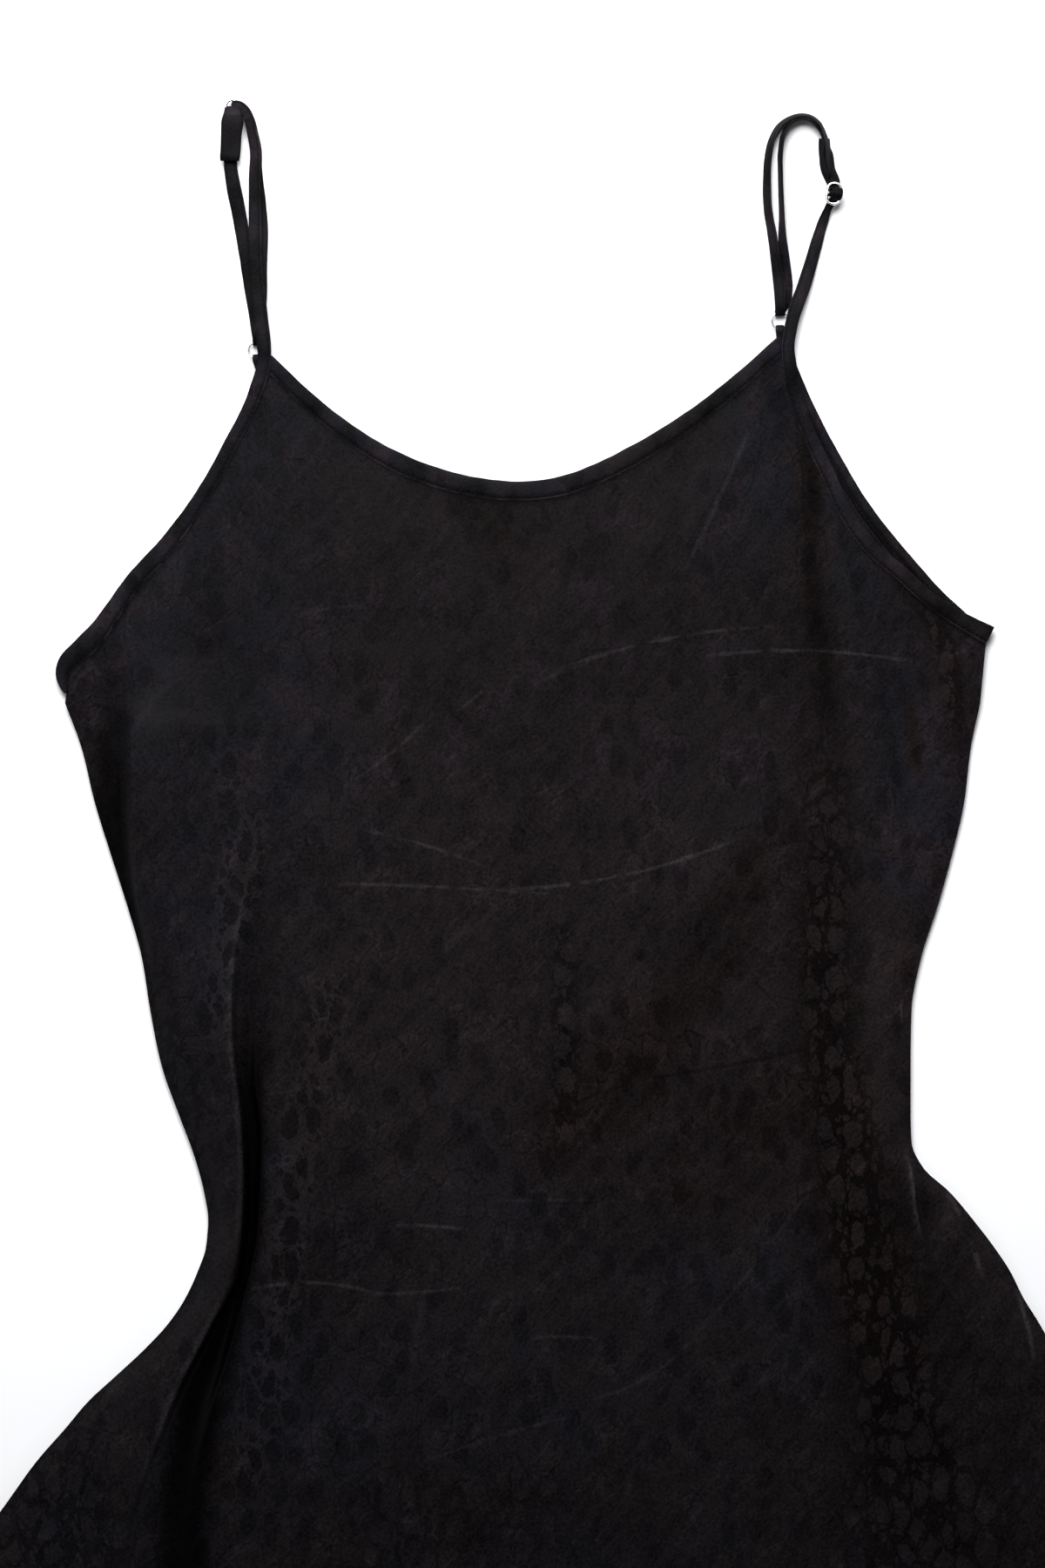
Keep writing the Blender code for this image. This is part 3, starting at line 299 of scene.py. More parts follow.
# The right strap, in the same order.
RIGHT_FRONT_STRAND = records(
    Station, (121.6, 432.4, 5.2, 178, 0, 6.4, 1.3), (122.8, 442, 5.3, 173, 0, 6.2, 1.3),
    (125.3, 452, 4.7, 167, 0, 6.5, 1.3), (129, 462, 3.2, 164, 0, 6.7, 1.3),
    (132.8, 474, 1.5, 163, 0, 6.2, 1.3), (136.1, 485.6, 1.2, 162, 0, 5.7, 1.3),
    (139.1, 495.2, 1.4, 158, 0, 4.8, 1.2),
)
RIGHT_OUTER_STRAND = records(
    Station, (142.7, 517.6, 3, 181, 50, 5, 1.2), (141.6, 524, 3.2, 187, 60, 5.8, 1.2),
    (140.8, 530.8, 3.3, 198, 66, 5.8, 1.2), (139.3, 536.8, 3.4, 214, 68, 5.8, 1.2),
    (136.4, 542.2, 3.4, 236, 68, 5.8, 1.2), (132.4, 545, 3.4, 254, 68, 5.8, 1.2),
    (128.2, 545.6, 3.4, 272, 68, 5.8, 1.2), (123.4, 544.4, 3.3, 292, 66, 5.8, 1.3),
    (118, 540.8, 3.2, 314, 66, 5.8, 1.3), (114.3, 534.6, 3.1, 336, 62, 5.6, 1.3),
    (112.3, 525.6, 3, 351, 56, 5.4, 1.3), (111.7, 514, 3, 358, 50, 5.4, 1.3),
    (112.2, 500, 3, 363, 48, 5.4, 1.3), (114.2, 488, 3, 366, 46, 5.6, 1.3),
    (116.1, 474, 3.2, 363, 36, 5.6, 1.3), (117.9, 460, 3.7, 361, 6, 5.6, 1.2),
)
RIGHT_INNER_STRAND = records(
    Station, (120.6, 456, 0.8, 358, 0, 5.6, 1.1), (121.3, 463, 0.8, 0, 0, 5.8, 1.2),
    (120.4, 474, 1.1, 2, 20, 5.6, 1.3), (119.2, 486, 2.2, 4, 54, 5.8, 1.2),
    (118.8, 498, 3, 3, 70, 6, 1.2), (118.2, 516, 3.1, 0, 74, 6, 1.2),
    (118.3, 529, 3.1, 352, 74, 6, 1.2), (119.8, 536.8, 3.1, 334, 74, 6, 1.2),
    (123.2, 541.8, 3, 304, 74, 6, 1.2), (128, 543.9, 2.9, 274, 74, 5.8, 1.1),
    (132, 543.2, 2.9, 254, 74, 5.8, 1.1), (135.4, 540.8, 2.9, 236, 72, 5.8, 1.1),
    (138.4, 536.2, 2.9, 214, 70, 5.8, 1.1), (140.3, 530.8, 2.8, 200, 56, 5.8, 1.1),
    (141.1, 526, 2.3, 190, 16, 5.8, 1.1), (141.8, 519.6, 2.1, 184, 0, 5.8, 1.1),
)
RIGHT_TURNED_END = records(
    Station, (142.6, 514.6, 0.8, 176, 0, 5, 1), (140.6, 520, 0.7, 183, 0, 5.8, 1),
    (139.8, 527, 0.7, 185, 0, 5.8, 1), (139.5, 533.6, 0.7, 186, 0, 5.4, 1),
    (139.5, 534.8, 0.7, 186, 0, 5.2, 1),
)

# How a strap runs round a slider's bars: along it, above it, and its width.
OVER_MIDDLE_BAR = records(
    Pass, (-5.4, -1.75, 3.8, 1), (-3.8, -1, 4.2, 0.3), (-2.75, 0.4, 4.8, -0.6), (-1.9, 1.9, 5.2, -1.3),
    (0, 2.65, 5.4, -1.5), (1.9, 1.9, 5.2, -1.3), (2.75, 0.4, 4.6, -0.2), (3.8, -1, 4.4, 0.8),
    (5.4, -1.75, 4.6, 1.5),
)
FOLDED_OVER_BAR = records(Pass, (-1.2, -1.4, 4.6), (0.4, -1.3, 4.6), (1.7, 0, 5.4), (1.2, 1.5, 7))
SEWN_LOOP = records(
    Pass, (1.3, -1.2, 5), (1.3, 0, 5), (0.92, 0.92, 5), (0, 1.3, 5), (-0.92, 0.92, 5), (-1.3, 0, 5),
)
UP_TO_LOOP = records(Pass, (5.4, -3.1, 5), (3.2, -2.5, 5))
UNDER_LOOP = records(Pass, (-0.7, -1.5, 5), (0.8, -3.2, 5), (3.6, -4.2, 5))

# Bands of the front where cells and ground part in tone, partly the weave's own two tones and partly
# painted sheen where slopes and valleys would show them: place, strength, widths.
DARK_GROUND_RIGHT = folds(
    (300, 130, 0, 10, 12), (250, 140, 0.45, 13, 13), (190, 142, 0.8, 13, 12), (139, 140, 0.95, 13, 12),
    (105, 141, 0.9, 13, 12), (75, 147, 1, 15, 15), (40, 152, 1, 17, 18), (0, 158, 1, 18, 19),
    (-40, 168, 1, 20, 22), (-80, 176, 0.95, 24, 26), (-130, 184, 0.8, 40, 50),
    (-220, 200, 0.5, 60, 60), (-400, 220, 0.3, 80, 80),
)
DARK_GROUND_HIP = folds(
    (-50, -240, 0, 30, 24), (-80, -234, 0.55, 30, 26), (-140, -226, 0.7, 34, 30),
    (-220, -240, 0.5, 60, 60), (-400, -250, 0.3, 80, 80),
)
DARK_GROUND_MARGIN = folds(
    (145, -186, 0, 8, 8), (122, -180, 0.3, 9, 9), (85, -171, 0.4, 10, 9), (55, -163, 0.3, 9, 8),
    (10, -150, 0.3, 8, 7), (-30, -164, 0, 10, 8),
)
DARK_GROUND_MIDDLE = folds(
    (180, 12, 0, 5, 8), (150, 12, 0.65, 5, 9), (95, 12, 0.9, 5, 11), (60, 12, 0.85, 5, 12),
    (34, 11, 0, 5, 10),
)
DARK_GROUND_HEM = folds(
    (-85, -40, 0, 30, 30), (-120, -30, 0.45, 70, 60), (-200, -20, 0.4, 110, 110),
    (-400, 0, 0.3, 130, 130),
)
DARK_GROUND_UNDERARM = folds(
    (324, 174, 0, 5, 5), (315, 180.6, 0.6, 6, 5), (299, 194, 0.9, 7, 6), (273, 201, 0.9, 7, 6),
    (252, 203, 0.6, 6, 5), (236, 204, 0, 5, 5),
)
DARK_GROUND_SIDE = folds(
    (5, 220, 0, 8, 8), (-30, 222, 0.3, 22, 16), (-120, 244, 0.4, 40, 40), (-400, 270, 0.3, 60, 60),
)
DARK_GROUND_LAP = folds(
    (160, -190, 0, 10, 10), (125, -188, 0.5, 11, 14), (85, -175, 0.65, 11, 16),
    (40, -164, 0.65, 11, 14), (0, -160, 0.5, 12, 12), (-45, -172, 0, 14, 12),
)
DARK_CELLS_LEFT = folds(
    (262, -150, 0, 16, 20), (232, -146, 0.35, 16, 16), (205, -140, 0.75, 12, 10),
    (170, -143, 0.95, 13, 10), (140, -148, 0.95, 11, 7), (110, -152, 0.7, 10, 6),
    (80, -150, 0.25, 8, 5), (20, -148, 0.2, 8, 6), (-40, -165, 0.3, 12, 8), (-110, -186, 0, 20, 10),
)
NET_RIGHT_OF_GULLY = folds(
    (140, -98, 0, 8, 10), (122, -99, 0.75, 9, 10), (80, -108, 0.85, 11, 11), (40, -114, 0.9, 12, 9),
    (0, -117, 0.9, 11, 9), (-40, -125, 0.85, 11, 11), (-85, -134, 0.8, 12, 12),
    (-120, -142, 0.5, 12, 12), (-165, -150, 0, 12, 14),
)

# Painted highlights along fold crests, and painted shade in the hollows beside them.
PAINTED_HIGHLIGHTS = [
    folds(
        (175, -140, 0, 2, 2), (158, -143, 0.2, 1.8, 1.5), (139, -146, 0.35, 1.8, 1.2),
        (110, -147, 0.5, 1.8, 1), (68, -143, 0.45, 1.8, 1), (34, -141, 0.4, 2, 1),
        (-8, -144, 0.35, 2.4, 1), (-39, -158, 0.4, 2.6, 1), (-62, -170, 0.45, 2.6, 1.6),
        (-90, -181, 0.4, 2.6, 2), (-130, -192, 0, 3, 2),
    ),
    folds(
        (48, 178.8, 0, 1, 0.8), (40, 180, 0.6, 1.1, 0.8), (30, 181.4, 0.9, 1.3, 0.9),
        (19, 182.6, 0.9, 1.3, 0.9), (10, 184.2, 0.5, 1.4, 1), (3, 186, 0, 1.4, 1.2),
    ),
    folds(
        (274, -170, 0, 1.2, 1.4), (271, -175, 0.22, 1.4, 1.6), (261, -187, 0.26, 1.5, 1.5),
        (248, -193.6, 0.22, 1.2, 1.2), (232, -194.8, 0.15, 1.1, 1.1), (200, -194, 0.22, 1, 1),
        (170, -191.8, 0.3, 1, 1), (146, -187.6, 0.2, 1.1, 1.2), (125, -183.5, 0, 1.2, 1.6),
    ),
    folds(
        (345, -166, 0, 6, 7), (328, -176, 0.15, 6, 8), (308, -189, 0.18, 6, 8),
        (292, -199, 0.08, 5, 7), (280, -204, 0, 5, 7),
    ),
]
# Painted shade in the gully, beside the laps, along the armhole bindings and in the valleys.
PAINTED_SHADES = [
    folds(
        (190, -134, 0, 8, 12), (150, -135, 0.22, 7, 12), (118, -137, 0.45, 7, 13),
        (98, -137, 0.62, 7, 11), (80, -137, 0.85, 6.5, 7.5), (58, -135.6, 0.97, 6, 6.2),
        (28, -135.6, 1, 6, 6.2), (4, -137.7, 1, 6, 6), (-14, -141.5, 1, 6.5, 7),
        (-32, -147.5, 1, 6.5, 8.5), (-47, -153, 1, 9, 10.5), (-62, -158.5, 0.98, 10.5, 12),
        (-87, -164, 0.96, 12, 13), (-120, -169, 0.9, 13, 14), (-155, -173, 0.82, 14, 15),
        (-220, -180, 0.4, 14, 16), (-300, -192, 0, 16, 18),
    ),
    folds(
        (280, -202, 0, 8, 8), (262, -201, 0.45, 9, 7.5), (235, -204, 0.72, 10, 8.5),
        (205, -203, 0.8, 12, 8.5), (178, -201, 0.84, 12, 8.5), (155, -197, 0.78, 10, 7.5),
        (138, -192, 0.3, 8, 5), (122, -187, 0, 6, 4),
    ),
    folds(
        (46, 184, 0, 2, 2.5), (36, 185.6, 0.3, 2.2, 3), (22, 187.6, 0.34, 3, 4),
        (10, 190.5, 0.22, 3.5, 4), (-2, 194, 0, 4, 4),
    ),
    folds(
        (334, -176, 0, 3, 3), (320, -189.5, 0.55, 3, 2.2), (305, -200.5, 0.8, 3.5, 2.2),
        (292, -209, 0.85, 4, 2.4), (284, -215.5, 0.6, 4, 2.6), (276, -220, 0, 4, 3),
    ),
    folds(
        (404, 128, 0, 3, 3), (389, 131, 0.42, 3.5, 3.5), (330, 134, 0.44, 4, 4),
        (268, 140, 0.34, 4.5, 4), (240, 143, 0, 5, 4),
    ),
    folds(
        (122, 182, 0, 12, 12), (106.5, 177, 0, 12, 12), (105, 176, 0.55, 13, 14),
        (103.5, 176, 0, 13, 14),
    ),
    folds(
        (335, -156, 0, 12, 14), (305, -160, 0.3, 15, 20), (268, -156, 0.32, 15, 22),
        (235, -152, 0, 14, 16),
    ),
    folds(
        (300, 162, 0, 2, 2.2), (278, 166, 0.3, 2.2, 2.4), (240, 172, 0.3, 2.6, 2.6),
        (198, 178, 0.22, 2.4, 2.4), (180, 180, 0, 2.2, 2.2),
    ),
    folds((292, 182, 0, 2, 2), (272, 186, 0.3, 2.2, 2.2), (246, 193, 0.2, 2, 2), (236, 195, 0, 2, 2)),
    folds(
        (355, 146, 0, 2, 2), (340, 149, 0.3, 2.2, 2.4), (312, 156, 0.25, 2.2, 2.4),
        (298, 160, 0, 2, 2),
    ),
]

# Bands where the black has turned brown.
BROWN = [
    folds(
        (225, 131, 0, 8, 8), (205, 121, 0.6, 14, 14), (170, 100, 0.85, 18, 16), (134, 81, 1, 24, 17),
        (110, 65, 1, 28, 20), (89, 50, 1, 38, 22), (65, 32, 0.9, 36, 30), (40, 10, 0.5, 24, 34),
        (20, 0, 0, 20, 30),
    ),
    folds(
        (270, 136, 0, 12, 12), (230, 140, 0.5, 16, 14), (139, 141, 0.8, 17, 16),
        (40, 152, 0.9, 22, 22), (-20, 162, 0.9, 24, 24), (-70, 172, 0.6, 26, 26),
        (-120, 182, 0, 30, 30),
    ),
    folds((100, 95, 0, 20, 20), (70, 97, 0.55, 36, 34), (30, 90, 0.5, 40, 36), (5, 84, 0, 30, 30)),
    folds(
        (372, -34, 0, 6, 8), (358, -30, 0.9, 16, 18), (344, -24, 0.9, 10, 14), (330, -12, 0.4, 12, 16),
        (312, -10, 0, 16, 16),
    ),
    folds(
        (404, 128, 0, 5, 5), (389, 131, 1, 6, 6), (330, 134, 1, 7, 7), (268, 140, 1, 8, 7),
        (240, 143, 0, 8, 8),
    ),
    folds((272, 180, 0, 3, 3), (256, 181, 1, 4, 4), (234, 183, 1, 4, 4), (222, 184, 0, 3, 3)),
    DARK_GROUND_UNDERARM,
]

# A broad paler area across the middle, and a painted highlight along the right side.
PALER_AND_EDGE_HIGHLIGHT = [
    folds(
        (290, 60, 0, 90, 110), (240, 20, 0.35, 145, 140), (170, 5, 0.64, 165, 155),
        (60, 20, 0.56, 140, 130), (-30, 20, 0.36, 125, 130), (-110, 20, 0.15, 120, 150),
        (-300, 0, 0, 200, 200),
    ),
    folds(
        (310, 205, 0, 12, 20), (270, 200, 0.7, 18, 30), (230, 192, 0.95, 20, 30),
        (180, 182, 1, 20, 26), (120, 172, 1, 18, 24), (60, 172, 0.9, 16, 22), (30, 195, 0.8, 18, 30),
        (-20, 222, 0.8, 18, 30), (-80, 250, 0.5, 30, 30), (-150, 270, 0, 40, 40),
    ),
]

# Parts where the black leans to blue.
BLUISH = [
    folds(
        (440, -128, 0.5, 20, 20), (390, -140, 1, 40, 60), (330, -160, 1, 60, 75),
        (250, -165, 1, 60, 65), (180, -160, 0.9, 50, 55), (110, -150, 0.45, 40, 45),
        (20, -150, 0.35, 40, 45), (-80, -170, 0.4, 60, 50), (-300, -180, 0.4, 80, 60),
    ),
    folds(
        (440, 115, 0.8, 20, 14), (390, 112, 1, 26, 14), (345, 104, 0.9, 30, 16),
        (300, 100, 0.3, 26, 16), (270, 98, 0, 20, 16),
    ),
    folds(
        (365, 142, 0, 8, 8), (340, 152, 1, 12, 14), (280, 168, 0.9, 16, 20), (200, 178, 0.8, 14, 18),
        (150, 178, 0, 12, 14),
    ),
    folds(
        (50, 0, 0, 170, 110), (0, 0, 0.4, 220, 120), (-80, 10, 0.5, 260, 220),
        (-300, 0, 0.5, 300, 300),
    ),
]

FRONT_BANDS = {
    "dark_ground": [
        DARK_GROUND_RIGHT, DARK_GROUND_HIP, DARK_GROUND_MARGIN, DARK_GROUND_MIDDLE, DARK_GROUND_HEM,
        DARK_GROUND_UNDERARM, DARK_GROUND_SIDE, DARK_GROUND_LAP,
    ],
    "dark_cells": [DARK_CELLS_LEFT, NET_RIGHT_OF_GULLY],
    "painted_highlight": PAINTED_HIGHLIGHTS,
    "painted_shade": PAINTED_SHADES,
    "brown": BROWN,
    "paler_and_edge_highlight": PALER_AND_EDGE_HIGHLIGHT,
    "bluish": BLUISH,
}
BACK_BANDS = {
    "dark_ground": [
        folds(
            (300, -120, 0, 12, 14), (180, -132, 0.7, 16, 18), (40, -120, 1, 18, 20),
            (-120, -150, 0.8, 34, 30), (-400, -190, 0.4, 80, 80),
        ),
        DARK_GROUND_HEM,
    ],
    "dark_cells": [folds((230, 110, 0, 14, 14), (120, 118, 0.8, 14, 14), (-60, 104, 0, 14, 14))],
    "brown": [folds((260, 10, 0, 20, 20), (90, -60, 0.8, 34, 30), (-40, -90, 0, 30, 30))],
}

# Soft low folds between the main ones.
PULL_FROM_RIGHT_STRAP = folds(
    (424, 112, 0, 8, 8), (399, 107, 0.45, 7, 8), (341, 74, 0.55, 8, 10), (299, 59, 0.4, 9, 12),
    (262, 40, 0, 10, 14),
)
PULL_BESIDE_IT = folds(
    (410, 88, 0, 8, 8), (380, 84, 0.3, 8, 9), (330, 50, 0.35, 9, 10), (280, 18, 0.3, 10, 12),
    (240, -20, 0.28, 10, 12), (205, -60, 0, 10, 14),
)
LEFT_BREAST_ROLL = folds(
    (330, -186, 0, 14, 16), (300, -188, 0.35, 12, 18), (268, -178, 0.4, 12, 22),
    (230, -160, 0.2, 14, 24), (190, -150, 0, 14, 24),
)
MIDDLE_PRESS = folds(
    (220, 9, 0, 3, 3), (190, 9, 0.25, 2.5, 2.5), (120, 10, 0.3, 2.5, 2.5), (50, 9, 0.22, 3, 3),
    (30, 9, 0, 3, 3),
)
SKIRT_CREASE_LEFT = folds(
    (-40, -190, 0, 5, 3), (-57, -196, 1, 6, 2.4), (-70, -204, 1.1, 6, 2.2), (-81, -211, 0.8, 6, 2.6),
    (-96, -219, 0, 6, 4),
)
HIP_EDGE_RIDGE = folds(
    (-14, 227, 0, 5, 2.6), (-27, 232.5, 1.3, 6, 2.2), (-42, 237, 1.3, 6, 2.4), (-56, 239.5, 0.9, 7, 3),
    (-74, 243, 0, 7, 4),
)
FINE_FOLDS = [
    PULL_FROM_RIGHT_STRAP, PULL_BESIDE_IT, LEFT_BREAST_ROLL, MIDDLE_PRESS, SKIRT_CREASE_LEFT,
    HIP_EDGE_RIDGE,
]


class Crease(NamedTuple):
    """A thin pressed crease between two points, bowed sideways."""

    x0: float
    y0: float
    x1: float
    y1: float
    bow: float
    width: float
    light: float


# Each crease is drawn in the colour: a light above nought paints a highlight along it, below nought
# makes it darker.
CREASES = records(
    Crease, (-116, 304, -82, 309, 1, 0.6, 0.4), (-87, 225, -48, 258, -1.5, 0.6, 0.5),
    (-38, 258, -19, 275, -1, 0.6, 0.45), (-3, 269, 26, 281, 1.5, 0.8, 0.35),
    (8, 277, 116, 299, 4.5, 0.6, 0.7), (78, 284, 187, 281, 4.6, 0.62, 0.85),
    (107, 403, 71, 324, 0.8, 0.9, 0.45), (-32, 172, 99, 197, -7.2, 0.65, 0.75),
    (-98, 175, 12, 169.5, 0.8, 0.6, 0.6), (-80, -22.7, -34, -19.6, -1, 0.6, 0.5),
    (-54, 132, -24, 160, 1.5, 2.2, 0.14), (51, 144, 51, 137, 0, 2, -0.55),
    (-84, 201, -24, 183, 1.5, 0.65, 0.6), (-138, -20, -77, -22.5, 4, 0.65, 0.7),
    (-69, 10.5, -31, 8, 0.6, 0.6, 0.6), (-53, -22, -60.5, -56, 0.5, 1.5, 0.25),
    (-19, 22, 32, 22, 0.4, 0.6, 0.3), (-3, -44, 30, -44, 0.5, 0.6, 0.4),
    (-57, -105, 19, -81.5, 1.5, 0.65, 0.3), (22, -75, 82, -37, -7, 0.65, 0.35),
    (82, -37, 137, 36.5, -2.2, 0.65, 0.35), (44, 80, 132, 96, -1.5, 0.7, -0.4),
    (8, 64, 45, 78, 1, 0.7, -0.4), (198, 27, 215.5, -16, 1.8, 0.85, 0.8),
    (232, -21, 240, -55, 1.2, 0.75, 0.7), (176, 119, 177, 106, 0, 0.5, 0.7),
)


def steady(xs: Sequence[float], ys: Sequence[float], at: np.ndarray) -> np.ndarray:
    """Interpolate a table smoothly without overshooting its rows.

    Args:
        xs: keys of the rows, in any order.
        ys: values of the rows.
        at: keys to read the table at.

    Returns:
        The values there, held constant past the first and last row.
    """
    order = np.argsort(xs)
    keys = np.asarray(xs, float)[order]
    values = np.asarray(ys, float)[order]
    spots = np.clip(np.asarray(at, float), keys[0], keys[-1])
    run = np.diff(keys)
    rise = np.diff(values) / run
    slope = np.zeros(len(keys))
    slope[0], slope[-1] = rise[0], rise[-1]
    for k in range(1, len(keys) - 1):
        if rise[k - 1] * rise[k] > 0:
            slope[k] = 2 / (1 / rise[k - 1] + 1 / rise[k])
    k = np.clip(np.searchsorted(keys, spots) - 1, 0, len(run) - 1)
    t = (spots - keys[k]) / run[k]
    return hermite(t, values[k], values[k + 1], run[k] * slope[k], run[k] * slope[k + 1])


def hermite(t: np.ndarray, a: np.ndarray, b: np.ndarray, da: np.ndarray, db: np.ndarray) -> np.ndarray:
    """Cubic between values a and b with end slopes da and db."""
    return (
        a * (1 + 2 * t) * (1 - t) ** 2
        + da * t * (1 - t) ** 2
        + b * t**2 * (3 - 2 * t)
        + db * t**2 * (t - 1)
    )


def catmull(keys: np.ndarray, values: np.ndarray, at: np.ndarray) -> np.ndarray:
    """Cubic curve through values, its slopes taken from the neighbours."""
    slope = np.gradient(values, keys)
    k = np.clip(np.searchsorted(keys, at) - 1, 0, len(keys) - 2)
    run = keys[k + 1] - keys[k]
    t = (at - keys[k]) / run
    return hermite(t, values[k], values[k + 1], run * slope[k], run * slope[k + 1])


def table(rows: Sequence, column: str, at: np.ndarray) -> np.ndarray:
    """Read one column of a table of rows keyed by y."""
    return steady([r.y for r in rows], [getattr(r, column) for r in rows], at)


def arc_length(points: np.ndarray) -> np.ndarray:
    """Running length along a row of points."""
    step = np.linalg.norm(np.diff(points, axis=0), axis=1)
    return np.concatenate([[0.0], np.cumsum(step)])


def curve_through(points: Sequence, count: int) -> np.ndarray:
    """Evenly spaced points on a smooth curve through the given ones.

    Args:
        points: the points to pass through.
        count: how many points to return.

    Returns:
        An array of count points.
    """
    given = np.asarray(points, float)
    length = arc_length(given)
    fine = np.linspace(0, length[-1], 900)
    smooth = np.stack([catmull(length, given[:, k], fine) for k in range(given.shape[1])], 1)
    run = arc_length(smooth)
    even = np.linspace(0, run[-1], count)
    return np.stack([np.interp(even, run, smooth[:, k]) for k in range(given.shape[1])], 1)


def fold_height(rows: Sequence[Fold], x: np.ndarray, y: np.ndarray) -> np.ndarray:
    """Height that one fold adds, soft on its wide side and steep on its narrow one."""
    aside = x - table(rows, "x", y)
    width = np.where(aside < 0, table(rows, "left_width", y), table(rows, "right_width", y))
    return table(rows, "height", y) * np.exp(-((aside / width) ** 2))


@dataclass
class ClothForm:
    """Where the front cloth lies: its cut, its grid and its height."""

    wall: float = 0.5
    level: float = 4.4
    seam_level: float = 2.6
    side_roll: float = 7.0
    hem_y: float = -554.0
    hem_rise: float = 30.0
    hem_half_width: float = 338.0
    roll_top: float = 286.0
    roll_fade: float = 40.0
    pressed: float = 0.9
    peak_rise: float = 1.4
    peak_reach: float = 16.0

    def height(self, x: np.ndarray, y: np.ndarray) -> np.ndarray:
        """Upper surface of the front above the floor.

        Args:
            x: places across, in millimetres.
            y: places along, in millimetres.

        Returns:
            Heights in millimetres.
        """
        left, right = table(SECTIONS, "left", y), table(SECTIONS, "right", y)
        inside = np.minimum(x - left, right - x)
        roll = np.exp(-((np.maximum(inside, 0) / self.side_roll) ** 2))
        fade = np.clip((self.roll_top - y) / self.roll_fade, 0, 1)
        level = self.level - (self.level - self.seam_level) * roll * fade
        for rows in FRONT_FOLDS + FINE_FOLDS:
            level = level + fold_height(rows, x, y) * (1 - roll * fade * self.pressed)
        for peak in (FRONT_NECK[0], FRONT_NECK[-1]):
            away = np.hypot(x - peak.x, y - peak.y)
            level = level + self.peak_rise * np.exp(-((away / self.peak_reach) ** 2))
        level = level + self.ripple(x, y) * (1 - roll * fade)
        return np.maximum(level, self.seam_level)

    @staticmethod
    def ripple(x: np.ndarray, y: np.ndarray) -> np.ndarray:
        """Low uneven waviness of washed cloth that was never pressed flat."""
        a = np.sin(x / 31 + 1.3 * np.sin(y / 58)) * np.sin(y / 47 + 1.1 * np.sin(x / 66))
        b = np.sin(x / 13.7 + y / 29 + 2.0 * np.sin(y / 41)) * np.sin(y / 19 - x / 44)
        c = np.sin((x + y) / 8.3 + 2.4 * np.sin(x / 23)) * np.sin((x - 1.7 * y) / 15.1)
        return 0.34 * a + 0.13 * b + 0.05 * c

    def hem_line(self, x: np.ndarray) -> np.ndarray:
        """Hem: a shallow curve that rises to the side seams."""
        return self.hem_y + self.hem_rise * (np.asarray(x, float) / self.hem_half_width) ** 2

    @staticmethod
    def spread(knots: Sequence[float], counts: Sequence[int]) -> list[float]:
        """Turn knot positions into mesh columns, evenly between neighbours."""
        out: list[float] = []
        for a, b, count in zip(knots, knots[1:], counts):
            out.extend(a + (b - a) * k / count for k in range(count))
        return out + [knots[-1]]

    def grid(
        self,
        lines: Sequence[Guide],
        counts: Sequence[int],
        top: np.ndarray,
        upper_rows: int,
        levels: Sequence[float],
        hem_rows: int,
    ) -> np.ndarray:
        """Grid of x, y points with its rows from the top edge to the hem.

        Args:
            lines: guide lines from left to right, each a function of y.
            counts: mesh columns between neighbouring guide lines.
            top: points of the top edge, one for each column.
            upper_rows: rows between the top edge and the first level.
            levels: heights of the level rows, from the top down.
            hem_rows: rows between the last level and the hem.

        Returns:
            An array of rows by columns by two.
        """
        lower = []
        for y in levels:
            lower.append([(x, y) for x in self.spread([float(f(y)) for f in lines], counts)])
        low = np.array(lower)
        upper = np.array([top + (low[0] - top) * k / upper_rows for k in range(upper_rows)])
        last = low[-1]
        wide = last[:, 0] * self.hem_half_width / abs(last[0, 0])
        foot = np.stack([wide, self.hem_line(wide)], 1)
        end = np.array([last + (foot - last) * k / hem_rows for k in range(1, hem_rows + 1)])
        return np.concatenate([upper, low, end])

    @staticmethod
    def top_edge(paths: Sequence[Sequence[Edge]], counts: Sequence[int]) -> np.ndarray:
        """Points along the top edge, each part of it cut into its own count."""
        out: list[np.ndarray] = []
        part = np.zeros((1, 2))
        for path, count in zip(paths, counts):
            part = curve_through(path, count + 1)
            out.extend(part[:-1])
        return np.array(out + [part[-1]])


def grid_normals(grid: np.ndarray) -> np.ndarray:
    """Upward normals of a grid of points."""
    normal = np.cross(np.gradient(grid, axis=0), np.gradient(grid, axis=1))
    normal /= np.maximum(np.linalg.norm(normal, axis=2, keepdims=True), 1e-9)
    normal[normal[..., 2] < 0] *= -1
    return normal


def put(name: str, data: object) -> Piece:
    """A new object in the scene."""
    made = bpy.data.objects.new(name, data)
    bpy.context.scene.collection.objects.link(made)
    return made


def mesh_object(
    name: str, points: np.ndarray, faces: list, finish: Material, rim: int = 0
) -> Piece:
    """Make a smooth-shaded object from points in millimetres.

    Args:
        name: the piece's name.
        points: its points.
        faces: its faces, as tuples of point numbers.
        finish: its material.
        rim: how many of the last faces are a cut edge, which is shaded flat.

    Returns:
        The new object, linked to the scene.
    """
    mesh = bpy.data.meshes.new(name)
    mesh.from_pydata((np.asarray(points) * MM).tolist(), [], faces)
    work = bmesh.new()
    work.from_mesh(mesh)
    bmesh.ops.recalc_face_normals(work, faces=work.faces)
    for k, face in enumerate(work.faces):
        face.smooth = k < len(faces) - rim
        if not face.smooth:
            for edge in face.edges:
                edge.smooth = False
    work.to_mesh(mesh)
    work.free()
    mesh.materials.append(finish)
    return put(name, mesh)


def store(mesh: bpy.types.Mesh, name: str, values: np.ndarray) -> None:
    """Store one number for each of a mesh's points."""
    data = mesh.attributes.new(name, "FLOAT", "POINT").data
    data.foreach_set("value", values.ravel().astype(np.float32))


def wire_section(first: Sequence[float], second: Sequence[float], sides: int = 14) -> np.ndarray:
    """Points round a wire of unit radius, in the plane of two directions."""
    around = np.linspace(0, 2 * math.pi, sides, endpoint=False)
    return np.outer(np.cos(around), first) + np.outer(np.sin(around), second)


